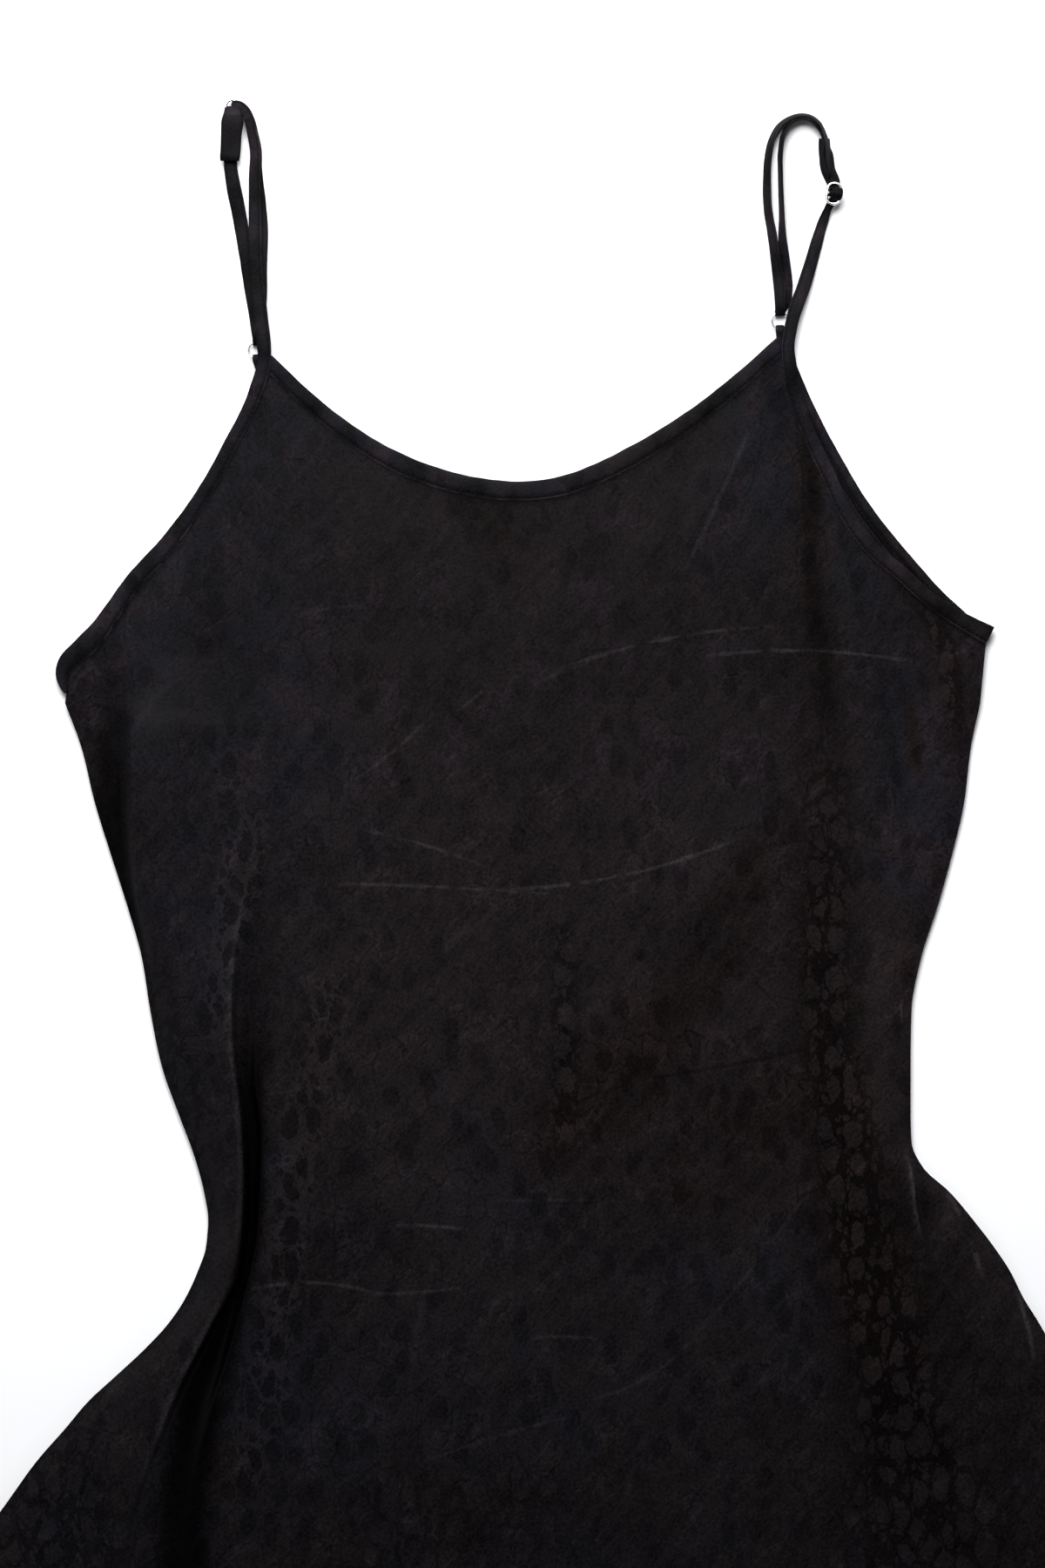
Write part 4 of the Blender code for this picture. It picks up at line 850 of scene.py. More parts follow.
def shell(upper: np.ndarray, lower: np.ndarray) -> tuple[np.ndarray, list]:
    """Points and faces of a closed wall between two equal grids."""
    rows, columns = upper.shape[:2]
    half = rows * columns
    points = np.concatenate([upper.reshape(-1, 3), lower.reshape(-1, 3)])
    faces = []
    for r in range(rows - 1):
        for c in range(columns - 1):
            a = r * columns + c
            b, d, e = a + 1, a + columns, a + columns + 1
            faces.append((a, b, e, d))
            faces.append((half + a, half + d, half + e, half + b))
    rim = list(range(columns))
    rim += [r * columns + columns - 1 for r in range(1, rows)]
    rim += [(rows - 1) * columns + c for c in range(columns - 2, -1, -1)]
    rim += [r * columns for r in range(rows - 2, 0, -1)]
    faces += [(a, half + a, half + b, b) for a, b in zip(rim, rim[1:] + rim[:1])]
    return points, faces


def tube(rings: Sequence, closed: bool) -> tuple[np.ndarray, list]:
    """Points and faces of a skin over rings, with end caps unless it closes."""
    count, sides = len(rings), len(rings[0])
    faces = []
    for k in range(count if closed else count - 1):
        for s in range(sides):
            a, b = k * sides + s, k * sides + (s + 1) % sides
            m = (k + 1) % count * sides
            faces.append((a, b, m + (s + 1) % sides, m + s))
    if not closed:
        faces.append(tuple(range(sides)))
        faces.append(tuple((count - 1) * sides + s for s in range(sides - 1, -1, -1)))
    return np.array(rings).reshape(-1, 3), faces


def band(rows: Sequence[Fold], x: np.ndarray, y: np.ndarray) -> np.ndarray:
    """Strength of a band of colour, even inside and soft only at its borders."""
    aside = x - table(rows, "x", y)
    width = np.where(aside < 0, table(rows, "left_width", y), table(rows, "right_width", y))
    return np.clip(table(rows, "height", y), 0, 1) * np.exp(-((aside / width) ** 4))


class Graph:
    """Short-hand for building a node tree."""

    def __init__(self, tree: bpy.types.NodeTree) -> None:
        """Work on one tree."""
        self.tree = tree

    def node(self, kind: str, settings: Optional[dict] = None, **inputs: object) -> bpy.types.Node:
        """Add a node, set its settings, and set or link its named inputs.

        Args:
            kind: Blender's node type.
            settings: properties of the node itself.
            inputs: socket names, with underscores for blanks, and values or sockets.

        Returns:
            The node.
        """
        made = self.tree.nodes.new(kind)
        for key, value in (settings or {}).items():
            setattr(made, key, value)
        for key, value in inputs.items():
            self.feed(made.inputs[key.replace("_", " ")], value)
        return made

    def feed(self, socket: Socket, value: object) -> None:
        """Link a socket to a socket, or give it a plain value."""
        if isinstance(value, Socket):
            self.tree.links.new(value, socket)
        else:
            socket.default_value = value

    def math(self, operation: str, *values: object, clamp: bool = False) -> Socket:
        """One Math node and its result."""
        made = self.node("ShaderNodeMath", {"operation": operation, "use_clamp": clamp})
        for k, value in enumerate(values):
            self.feed(made.inputs[k], value)
        return made.outputs[0]

    def times(self, a: object, b: object) -> Socket:
        """Product of two numbers."""
        return self.math("MULTIPLY", a, b)

    def plus(self, a: object, b: object) -> Socket:
        """Sum of two numbers."""
        return self.math("ADD", a, b)

    def minus(self, a: object, b: object) -> Socket:
        """Difference of two numbers."""
        return self.math("SUBTRACT", a, b)

    def scaled(self, value: object, factor: object, start: object) -> Socket:
        """A number times a factor, on top of a starting value."""
        return self.math("MULTIPLY_ADD", value, factor, start)

    def place(self) -> Socket:
        """The point being shaded, in the dress's own coordinates."""
        return self.node("ShaderNodeTexCoord").outputs["Object"]

    def stored(self, *names: str) -> list[Socket]:
        """Numbers that the mesh stores for each of its points, by name."""
        kind = "ShaderNodeAttribute"
        return [self.node(kind, {"attribute_name": name}).outputs["Fac"] for name in names]

    def bump(self, shader: bpy.types.Node, strength: float, distance: float, height: object) -> None:
        """Give a shader fine relief."""
        made = self.node("ShaderNodeBump", Strength=strength, Distance=distance, Height=height)
        self.feed(shader.inputs["Normal"], made.outputs[0])

    def vector(self, operation: str, *values: object) -> Socket:
        """One Vector Math node and its result, a number where that is what it gives."""
        made = self.node("ShaderNodeVectorMath", {"operation": operation})
        second = "Scale" if operation == "SCALE" else 1
        for key, value in zip((0, second), values):
            self.feed(made.inputs[key], value)
        return made.outputs["Value" if operation in ("DOT_PRODUCT", "DISTANCE") else "Vector"]

    def axes(self, vector: object) -> bpy.types.NodeOutputs:
        """A vector's three numbers."""
        return self.node("ShaderNodeSeparateXYZ", Vector=vector).outputs

    def noise(self, place: object, scale: float, detail: float) -> Socket:
        """Soft noise through space, about a half."""
        made = self.node("ShaderNodeTexNoise", Vector=place, Scale=scale, Detail=detail)
        return made.outputs["Fac"]

    def step(
        self, value: object, low: object, high: object, to_low: float = 0.0, to_high: float = 1.0
    ) -> Socket:
        """Smooth step of a value from one range to another."""
        made = self.node(
            "ShaderNodeMapRange", {"interpolation_type": "SMOOTHSTEP"}, Value=value, From_Min=low,
            From_Max=high, To_Min=to_low, To_Max=to_high,
        )
        return made.outputs["Result"]

    def blend(self, factor: object, a: object, b: object) -> Socket:
        """Mix two numbers by a factor."""
        made = self.node("ShaderNodeMix", {"data_type": "FLOAT"})
        for socket, value in zip((made.inputs[0], made.inputs[2], made.inputs[3]), (factor, a, b)):
            self.feed(socket, value)
        return made.outputs[0]

    def tint(self, factor: object, a: object, b: object, kind: str = "MIX") -> Socket:
        """Mix two colours by a factor."""
        made = self.node("ShaderNodeMix", {"data_type": "RGBA", "blend_type": kind})
        for socket, value in zip((made.inputs[0], made.inputs[6], made.inputs[7]), (factor, a, b)):
            self.feed(socket, (*value, 1.0) if isinstance(value, tuple) else value)
        return made.outputs[2]


class ShaderGroup:
    """A shader node group with named sockets, built once and shared."""

    made: dict[str, bpy.types.NodeTree] = {}

    def __init__(self, name: str, inputs: dict, outputs: Sequence[str], build: Callable) -> None:
        """Name the group and its sockets, and say what fills it.

        Args:
            name: the group's name.
            inputs: input names with their default numbers, or None for a vector.
            outputs: names of the output numbers.
            build: function of the graph and the inputs that returns the outputs.
        """
        self.name, self.inputs, self.outputs, self.build = name, inputs, outputs, build

    def tree(self) -> bpy.types.NodeTree:
        """The group's tree, made when it is first wanted."""
        if self.name in self.made:
            return self.made[self.name]
        tree = bpy.data.node_groups.new(self.name, "ShaderNodeTree")
        for key, value in self.inputs.items():
            number = isinstance(value, float)
            kind = "NodeSocketFloat" if number else "NodeSocketVector"
            socket = tree.interface.new_socket(name=key, in_out="INPUT", socket_type=kind)
            if value is not None:
                socket.default_value = value
        for key in self.outputs:
            tree.interface.new_socket(name=key, in_out="OUTPUT", socket_type="NodeSocketFloat")
        graph = Graph(tree)
        given = tree.nodes.new("NodeGroupInput")
        result = tree.nodes.new("NodeGroupOutput")
        values = self.build(graph, {k: given.outputs[k] for k in self.inputs})
        for key, value in zip(self.outputs, values):
            tree.links.new(value, result.inputs[key])
        self.made[self.name] = tree
        return tree

    def place(self, graph: Graph, **inputs: object) -> dict[str, Socket]:
        """Put the group in a material and return its outputs by name."""
        made = graph.tree.nodes.new("ShaderNodeGroup")
        made.node_tree = self.tree()
        for key, value in inputs.items():
            graph.feed(made.inputs[key.replace("_", " ")], value)
        return {key: made.outputs[key] for key in self.outputs}


def fill_pebbles(g: Graph, i: dict) -> tuple:
    """Rounded oblong cells, droplets between them and the thin line around each one."""
    flat = {"noise_dimensions": "2D"}

    def noise(vector: object, scale: float, reach: float) -> Socket:
        """A wandering shift of at most about reach metres."""
        wander = g.node("ShaderNodeTexNoise", flat, Vector=vector, Scale=scale, Detail=1.0)
        off = g.vector("SUBTRACT", wander.outputs["Color"], (0.5, 0.5, 0.5))
        return g.vector("SCALE", off, reach)

    def cells(feature: str, pace: object, randomness: float) -> bpy.types.NodeOutputs:
        """One layer of cells over the wandering place."""
        kind = {"voronoi_dimensions": "2D", "feature": feature}
        made = g.node("ShaderNodeTexVoronoi", kind, Vector=spot, Scale=pace, Randomness=randomness)
        return made.outputs

    def chance(colour: object) -> bpy.types.NodeOutputs:
        """Three random numbers of a cell."""
        return g.node("ShaderNodeSeparateColor", Color=colour).outputs

    squash = g.vector("MULTIPLY", i["Vector"], (1.0, 0.62, 0.0))
    spot = g.vector("ADD", squash, noise(squash, 80.0, 0.0065))
    spot = g.vector("ADD", spot, noise(squash, 420.0, 0.0026))
    pace = g.math("DIVIDE", 1.0, i["Size"])
    edge = cells("DISTANCE_TO_EDGE", pace, 0.80)["Distance"]
    cell = cells("F1", pace, 0.80)
    fate = chance(cell["Color"])
    bound = g.minus(g.scaled(fate[1], 0.12, 0.46), cell["Distance"])
    depth = g.math("SMOOTH_MIN", edge, bound, 0.15)
    gap = g.scaled(g.math("POWER", fate[0], 1.6), 0.13, 0.055)
    body = g.step(depth, gap, g.plus(gap, 0.05))
    drops = cells("F1", g.times(pace, 2.7), 1.0)
    size = g.scaled(chance(drops["Color"])[1], 0.40, 0.04)
    drop = g.step(drops["Distance"], g.plus(size, 0.07), g.minus(size, 0.04))
    clear = g.step(depth, g.plus(gap, -0.01), g.minus(gap, 0.06))
    mask = g.math("MAXIMUM", body, g.times(drop, clear))
    outline = g.step(edge, 0.060, 0.012)
    dot = g.times(g.step(cell["Distance"], 0.44, 0.28), g.step(fate[2], 0.20, 0.60))
    return mask, outline, fate[2], dot, g.step(drops["Distance"], 0.50, 0.30)


def fill_wash(g: Graph, i: dict) -> tuple:
    """Cloudy, hatched and hairy tone of sand-washed cloth, about one."""

    def cloud(scale: float, detail: float, long: float, turn: float) -> Socket:
        """One layer of noise about nought, drawn out along a turned line."""
        laid = g.node("ShaderNodeMapping", {"vector_type": "TEXTURE"}, Vector=i["Vector"])
        laid.inputs["Scale"].default_value = (long, 1.0, 1.0)
        laid.inputs["Rotation"].default_value = (0.0, 0.0, turn)
        flat = {"noise_dimensions": "2D"}
        noise = g.node("ShaderNodeTexNoise", flat, Vector=laid.outputs[0], Scale=scale, Detail=detail)
        return g.minus(noise.outputs["Fac"], 0.5)

    def hairs(layer: Socket, width: float) -> Socket:
        """Thin lines where a layer passes through nought."""
        return g.step(g.math("ABSOLUTE", layer), width, 0.0)

    broad = cloud(10.0, 2.0, 1.0, 0.3)
    patch = cloud(48.0, 3.0, 1.2, 0.8)
    hatch = cloud(210.0, 2.0, 5.0, 0.90)
    wisp = cloud(120.0, 2.0, 2.6, 0.75)
    twig = cloud(150.0, 2.0, 1.6, -0.6)
    fleck = cloud(760.0, 2.0, 1.3, 0.80)
    scuff = g.math("MAXIMUM", hairs(wisp, 0.035), g.times(hairs(twig, 0.03), 0.7))
    scuff = g.times(scuff, g.step(patch, -0.02, 0.10))
    tone = g.scaled(broad, 0.30, 1.0)
    for layer, amount in ((patch, 0.46), (hatch, 0.70), (twig, 0.36), (fleck, 1.60)):
        tone = g.scaled(layer, g.times(i["Strength"], amount), tone)
    relief = g.scaled(hatch, 0.3, g.times(fleck, 1.2))
    return tone, scuff, relief, broad, patch


def fill_crease(g: Graph, i: dict) -> tuple:
    """A thin pressed crease along a bowed line between two points, drawn as a painted highlight; a
    Light below nought makes it darker instead.
    """
    flat = g.vector("MULTIPLY", i["Vector"], (1.0, 1.0, 0.0))
    run = g.vector("SUBTRACT", i["To"], i["From"])
    reach = g.vector("SUBTRACT", flat, i["From"])
    share = g.math(
        "DIVIDE", g.vector("DOT_PRODUCT", reach, run), g.vector("DOT_PRODUCT", run, run), clamp=True
    )
    swell = g.times(g.times(share, g.minus(1.0, share)), 4.0)
    parts = g.axes(g.vector("NORMALIZE", run))
    side = g.node("ShaderNodeCombineXYZ")
    g.feed(side.inputs["X"], g.times(parts["Y"], -1.0))
    g.feed(side.inputs["Y"], parts["X"])
    bowed = g.vector("SCALE", side.outputs[0], g.times(swell, i["Bow"]))
    along = g.vector("SCALE", run, share)
    middle = g.vector("ADD", g.vector("ADD", i["From"], along), bowed)
    away = g.plus(g.vector("DISTANCE", flat, middle), i["Drift"])
    line = g.step(away, i["Width"], 0.0)
    fade = g.math("POWER", swell, 0.5)
    return (g.times(g.times(line, fade), i["Light"]),)


PEBBLES = ShaderGroup(
    "pebble_jacquard",
    {"Vector": None, "Size": 0.0108},
    ("Mask", "Outline", "Fate", "Dot", "Speck"),
    fill_pebbles,
)
WASH = ShaderGroup(
    "sand_wash",
    {"Vector": None, "Strength": 1.0},
    ("Tone", "Scuff", "Relief", "Broad", "Patch"),
    fill_wash,
)
PRESS_CREASE = ShaderGroup(
    "press_crease",
    {
        "Vector": None, "From": (0.0, 0.0, 0.0), "To": (0.1, 0.0, 0.0), "Bow": 0.0, "Width": 0.001,
        "Light": 0.5, "Drift": 0.0,
    },
    ("Line",),
    fill_crease,
)


def new_material(name: str, **values: object) -> tuple[Material, Graph, bpy.types.Node]:
    """A new material, its graph, and its Principled shader with the given values."""
    made = bpy.data.materials.new(name)
    made.use_nodes = True
    shader = made.node_tree.nodes["Principled BSDF"]
    for key, value in values.items():
        shader.inputs[key.replace("_", " ")].default_value = value
    return made, Graph(made.node_tree), shader


@dataclass(frozen=True)
class WashedJacquard:
    """Black washed cloth with pebble cells woven tone on tone."""

    name: str = "washed_jacquard"
    black: tuple = (0.0052, 0.0045, 0.0051)
    warm: tuple = (1.08, 0.965, 0.91)
    cool: tuple = (0.92, 0.970, 1.17)
    mauve: tuple = (1.05, 0.90, 1.00)
    rust: tuple = (1.16, 0.86, 0.78)
    scuff_and_highlight_tint: tuple = (0.90, 1.06, 1.00)
    dot_depth: float = 0.36
    line_depth: float = 0.36
    brown_depth: float = 0.30
    dark_ground: tuple = (0.36, 1.10)
    dark_cells: tuple = (1.45, 0.58)
    paler_and_highlight_gain: float = 0.5
    scuff_gain: float = 0.20
    scuff_and_highlight_gain: float = 2.8
    painted_shade_depth: float = 0.94
    crease_width: float = 2.2
    roughness: float = 0.50
    roughness_range: tuple = (0.28, 0.62)
    specular: float = 0.042
    relief: tuple = (0.5, 0.0006)

    def material(self) -> Material:
        """Build the cloth's material from the shared groups."""
        made, g, shader = new_material(self.name, Specular_IOR_Level=self.specular)
        place = g.place()
        pebbles = PEBBLES.place(g, Vector=place)
        wash = WASH.place(g, Vector=place)
        ground, cells, painted_highlight, painted_shade = g.stored("dark_ground", "dark_cells", "painted_highlight", "painted_shade")
        brown, paler_and_edge_highlight, bluish = g.stored("brown", "paler_and_edge_highlight", "bluish")
        mask, outline = pebbles["Mask"], pebbles["Outline"]
        spot = g.axes(place)
        low_left = g.step(spot["Y"], 0.0, -0.16, -0.04, 0.05)
        low_left = g.scaled(g.step(spot["X"], 0.0, -0.10), 0.16, low_left)
        lined = g.step(g.plus(wash["Broad"], g.plus(low_left, wash["Patch"])), -0.04, 0.14)
        lined = g.times(outline, lined)
        shown = g.step(wash["Broad"], -0.06, 0.02)
        dot = g.blend(shown, g.blend(0.45, pebbles["Dot"], pebbles["Speck"]), pebbles["Dot"])
        plain = g.scaled(dot, -self.dot_depth, 1.05)
        plain = g.scaled(lined, -self.line_depth, plain)
        plain = g.scaled(brown, -self.brown_depth, plain)
        # Ground and cells part in tone in the bands: the weave's own pattern, with painted sheen.
        tone = g.blend(ground, plain, g.blend(mask, *self.dark_ground))
        tone = g.blend(cells, tone, g.blend(mask, *self.dark_cells))
        # Lighter in a broad middle area, with a painted highlight along the right side.
        tone = g.times(tone, g.times(wash["Tone"], g.scaled(paler_and_edge_highlight, self.paler_and_highlight_gain, 1.0)))
        # Lighter lines: the wash's own scuffs, with painted highlights on the crests and along the
        # creases.
        line = g.math("MAXIMUM", g.times(wash["Scuff"], self.scuff_gain), painted_highlight)
        pressed: object = 0.0
        drift, broken = self.unevenness(g, place)
        for c in CREASES:
            crease = PRESS_CREASE.place(
                g, Vector=place, From=(c.x0 * MM, c.y0 * MM, 0.0), To=(c.x1 * MM, c.y1 * MM, 0.0),
                Bow=c.bow * MM, Width=c.width * self.crease_width * MM, Light=c.light, Drift=drift,
            )
            shown = g.times(crease["Line"], broken)
            if c.light > 0:
                line = g.math("MAXIMUM", line, shown)
            else:
                pressed = g.math("MINIMUM", pressed, shown)
        tone = g.times(tone, g.scaled(line, self.scuff_and_highlight_gain, g.plus(pressed, 1.0)))
        # Painted shade: darker in the fold hollows and along the bound edges.
        tone = g.times(tone, g.scaled(painted_shade, -self.painted_shade_depth, 1.0))
        lean = g.scaled(bluish, 0.24, -0.12)
        fate = g.minus(pebbles["Fate"], 0.5)
        varied = g.scaled(fate, 0.12, g.times(wash["Broad"], 0.5))
        hue = g.step(g.plus(varied, lean), -0.12, 0.12)
        colour = g.tint(hue, self.warm, self.cool)
        blush = g.step(g.scaled(fate, 0.10, wash["Patch"]), 0.00, 0.07)
        blush = g.times(blush, g.step(spot["Y"], 0.10, 0.26, 0.15, 0.9))
        colour = g.tint(blush, colour, self.mauve)
        rusty = g.times(brown, g.step(g.plus(wash["Patch"], varied), -0.24, -0.02))
        low = g.times(g.step(spot["Y"], 0.24, 0.14), g.step(spot["Y"], 0.0, 0.06))
        low = g.times(low, g.step(spot["X"], -0.09, 0.02, 0.0, 0.7))
        spots = g.step(g.scaled(fate, 0.12, wash["Patch"]), 0.02, 0.13)
        colour = g.tint(g.math("MAXIMUM", rusty, g.times(low, spots)), colour, self.rust)
        # Scuffs and painted highlights take a paler tint.
        colour = g.tint(g.math("MULTIPLY", line, 0.9, clamp=True), colour, self.scuff_and_highlight_tint)
        dyed = g.tint(1.0, colour, self.black, "MULTIPLY")
        g.feed(shader.inputs["Base Color"], g.vector("SCALE", dyed, tone))
        haze = g.scaled(g.minus(tone, 1.0), 0.17, self.roughness)
        smoothest, roughest = self.roughness_range
        haze = g.math("MINIMUM", g.math("MAXIMUM", haze, smoothest), roughest)
        g.feed(shader.inputs["Roughness"], haze)
        relief = g.scaled(mask, 0.06, g.times(wash["Relief"], 0.16))
        relief = g.scaled(line, 0.35, relief)
        g.bump(shader, *self.relief, relief)
        return made

    @staticmethod
    def unevenness(g: Graph, place: Socket) -> tuple:
        """How far creases stray from their line, and where they break off."""
        shake = g.noise(place, 160.0, 2.0)
        drift = g.times(g.minus(shake, 0.5), 0.0022)
        gaps = g.noise(place, 95.0, 1.0)
        return drift, g.step(gaps, 0.28, 0.48)


@dataclass(frozen=True)
class BiasCloth:
    """The same black cloth cut on the bias for bindings and straps."""

    name: str = "bias_cloth"
    black: tuple = (0.0053, 0.0047, 0.0056)
    warm: tuple = (1.06, 0.98, 0.93)
    cool: tuple = (0.93, 0.96, 1.14)
    stain: tuple = (1.12, 0.90, 0.96)
    wash: float = 0.75
    cell: float = 0.0082
    dot_depth: float = 0.42
    ledge_highlight_gain: float = 0.85
    painted_shade_depth: float = 0.88
    roughness: float = 0.55
    specular: float = 0.04
    relief: tuple = (0.2, 0.0006)

    def material(self) -> Material:
        """Build the strip cloth's material."""
        made, g, shader = new_material(self.name, Specular_IOR_Level=self.specular)
        place = g.place()
        wash = WASH.place(g, Vector=place, Strength=self.wash)
        pebbles = PEBBLES.place(g, Vector=place, Size=self.cell)
        tone = g.scaled(wash["Scuff"], 0.12, wash["Tone"])
        tone = g.times(tone, g.scaled(wash["Patch"], 3.0, 1.03))
        tone = g.times(tone, g.scaled(pebbles["Dot"], -self.dot_depth, 1.10))
        # Painted highlight on the ledge beside the groove, and painted shade in the groove and where a
        # strip lies in shade.
        painted_shade, ledge_highlight = g.stored("painted_shade", "painted_highlight")
        tone = g.times(tone, g.scaled(ledge_highlight, self.ledge_highlight_gain, 1.0))
        tone = g.times(tone, g.scaled(painted_shade, -self.painted_shade_depth, 1.0))
        side = g.axes(place)["X"]
        hue = g.step(g.scaled(side, -0.6, g.plus(wash["Broad"], 0.03)), -0.12, 0.12)
        colour = g.tint(hue, self.warm, self.cool)
        stained = g.step(g.scaled(pebbles["Fate"], 0.16, wash["Patch"]), 0.04, 0.14)
        colour = g.tint(g.times(stained, 0.6), colour, self.stain)
        dyed = g.tint(1.0, colour, self.black, "MULTIPLY")
        g.feed(shader.inputs["Base Color"], g.vector("SCALE", dyed, tone))
        g.feed(shader.inputs["Roughness"], g.scaled(wash["Relief"], 0.2, self.roughness))
        g.bump(shader, *self.relief, wash["Relief"])
        return made


@dataclass(frozen=True)
class SewingThread:
    """Black sewing thread, a little glossier than the cloth."""

    name: str = "sewing_thread"
    black: tuple = (0.0024, 0.0022, 0.0026, 1.0)
    roughness: float = 0.5
    rougher: float = 0.2
    twists: float = 900.0
    relief: tuple = (0.3, 0.0002)

    def material(self) -> Material:
        """Build the thread's material."""
        made, g, shader = new_material(self.name, Base_Color=self.black, Specular_IOR_Level=0.10)
        wave = g.node("ShaderNodeTexWave", Vector=g.place(), Scale=self.twists, Distortion=2.0)
        twist = wave.outputs["Fac"]
        rough = g.blend(twist, self.roughness, self.roughness + self.rougher)
        g.feed(shader.inputs["Roughness"], rough)
        g.bump(shader, *self.relief, twist)
        return made


@dataclass(frozen=True)
class PolishedMetal:
    """Bright plated wire with fine handling marks."""

    name: str = "polished_metal"
    silver: tuple = (0.78, 0.78, 0.80)
    roughness: float = 0.16
    marks: float = 900.0

    def material(self) -> Material:
        """Build the metal's material."""
        made, g, shader = new_material(self.name, Metallic=1.0)
        rub = g.noise(g.place(), self.marks, 3.0)
        shade = g.scaled(rub, 0.25, 0.86)
        g.feed(shader.inputs["Base Color"], g.vector("SCALE", self.silver, shade))
        g.feed(shader.inputs["Roughness"], g.scaled(rub, 0.16, self.roughness))
        return made


@dataclass(frozen=True)
class PaleTable:
    """Smooth pale surface under the dress."""

    name: str = "pale_table"
    shade: tuple = (0.86, 0.865, 0.885)

    def material(self) -> Material:
        """Build the table's material."""
        made, g, shader = new_material(self.name, Roughness=0.9, Specular_IOR_Level=0.1)
        tone = g.scaled(g.noise(g.place(), 3.0, 2.0), 0.02, 0.99)
        g.feed(shader.inputs["Base Color"], g.vector("SCALE", self.shade, tone))
        return made


@dataclass(frozen=True)
class Finishes:
    """Every finish of the dress, made once and shared by its pieces."""

    cloth: Material
    strip: Material
    thread: Material
    metal: Material

    @classmethod
    def make(cls) -> "Finishes":
        """Build the finishes in order."""
        return cls(
            WashedJacquard().material(), BiasCloth().material(), SewingThread().material(),
            PolishedMetal().material(),
        )


def attach(piece: Piece, slot: Optional[str], *nodes: str) -> Piece:
    """Fix a piece to the dress's body and hide the solids it stands for.

    Args:
        piece: the finished piece.
        slot: not used.
        nodes: solids that it replaces.

    Returns:
        The same piece.
    """
    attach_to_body(piece, BODY)
    if nodes:
        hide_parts(*nodes)
    log.info("%s: %d faces", piece.name, len(piece.data.polygons))
    return piece


@dataclass
class Panel:
    """A panel of the dress: how its cloth is cut and laid."""

    form: ClothForm
    finish: Material
    name: str = "panel"
    fine_step: float = 3.0
    coarse_step: float = 6.0
    top_rows: int = 44
    hem_rows: int = 8
    hip_y: float = -155.0
    turned_in: tuple = (0.004, 0.012)
    seam_share: float = 1.02
    seam_shadow_reach: float = 2.2

    def levels(self) -> list[float]:
        """Heights of the level rows, close together down to the hip."""
        fine = np.arange(SECTIONS[0].y, self.hip_y, -self.fine_step)
        coarse = np.arange(fine[-1] - self.coarse_step, SECTIONS[-1].y, -self.coarse_step)
        return [float(y) for y in (*fine, *coarse, SECTIONS[-1].y)]

    @staticmethod
    def edge_run(flat: np.ndarray) -> tuple[np.ndarray, np.ndarray]:
        """Distance of each point below the top edge, and along that edge."""
        steps = np.linalg.norm(np.diff(flat, axis=0), axis=2)
        below = np.concatenate([np.zeros((1, flat.shape[1])), np.cumsum(steps, axis=0)])
        return below, np.broadcast_to(arc_length(flat[0]), below.shape)

    @staticmethod
    def rim(flat: np.ndarray) -> int:
        """How many faces the wall's cut edge has."""
        return 2 * (flat.shape[0] + flat.shape[1] - 2)

    def cut_size(self, flat: np.ndarray) -> tuple[float, float]:
        """Flat width and length of the cut in metres, with what is turned in."""
        wide, long = (float(np.ptp(flat[..., k])) * MM + self.turned_in[k] for k in (0, 1))
        return wide, long

    def cut_area(self, flat: np.ndarray) -> float:
        """Flat area of the cut in square metres, from its outline and what is turned in."""
        rim = np.concatenate([flat[0], flat[1:, -1], flat[-1, -2::-1], flat[-2:0:-1, 0]])
        x, y = rim[:, 0], rim[:, 1]
        twice = abs(float(np.sum(x * np.roll(y, -1) - y * np.roll(x, -1))))
        return twice / 2 * MM * MM * self.seam_share

    def shades(
        self, mesh: bpy.types.Mesh, flat: np.ndarray, bands: dict[str, list], seam: float = 0.0
    ) -> None:
        """Store the strength of each group of bands, on both faces of the cloth.

        Args:
            mesh: the panel's mesh.
            flat: its points, seen from above.
            bands: tables of each group, by the attribute's name.
            seam: how dark the painted shade along the bound edge is.
        """
        x, y = flat[..., 0], flat[..., 1]
        below = self.edge_run(flat)[0]
        for key, tables in bands.items():
            value = np.max([band(rows, x, y) for rows in tables], axis=0)
            if key == "painted_shade":
                # Painted shade along the bound edge, where the seam shades the cloth.
                value = np.maximum(value, seam * np.exp(-((below / self.seam_shadow_reach) ** 2)))
            store(mesh, key, np.tile(value.ravel(), 2))


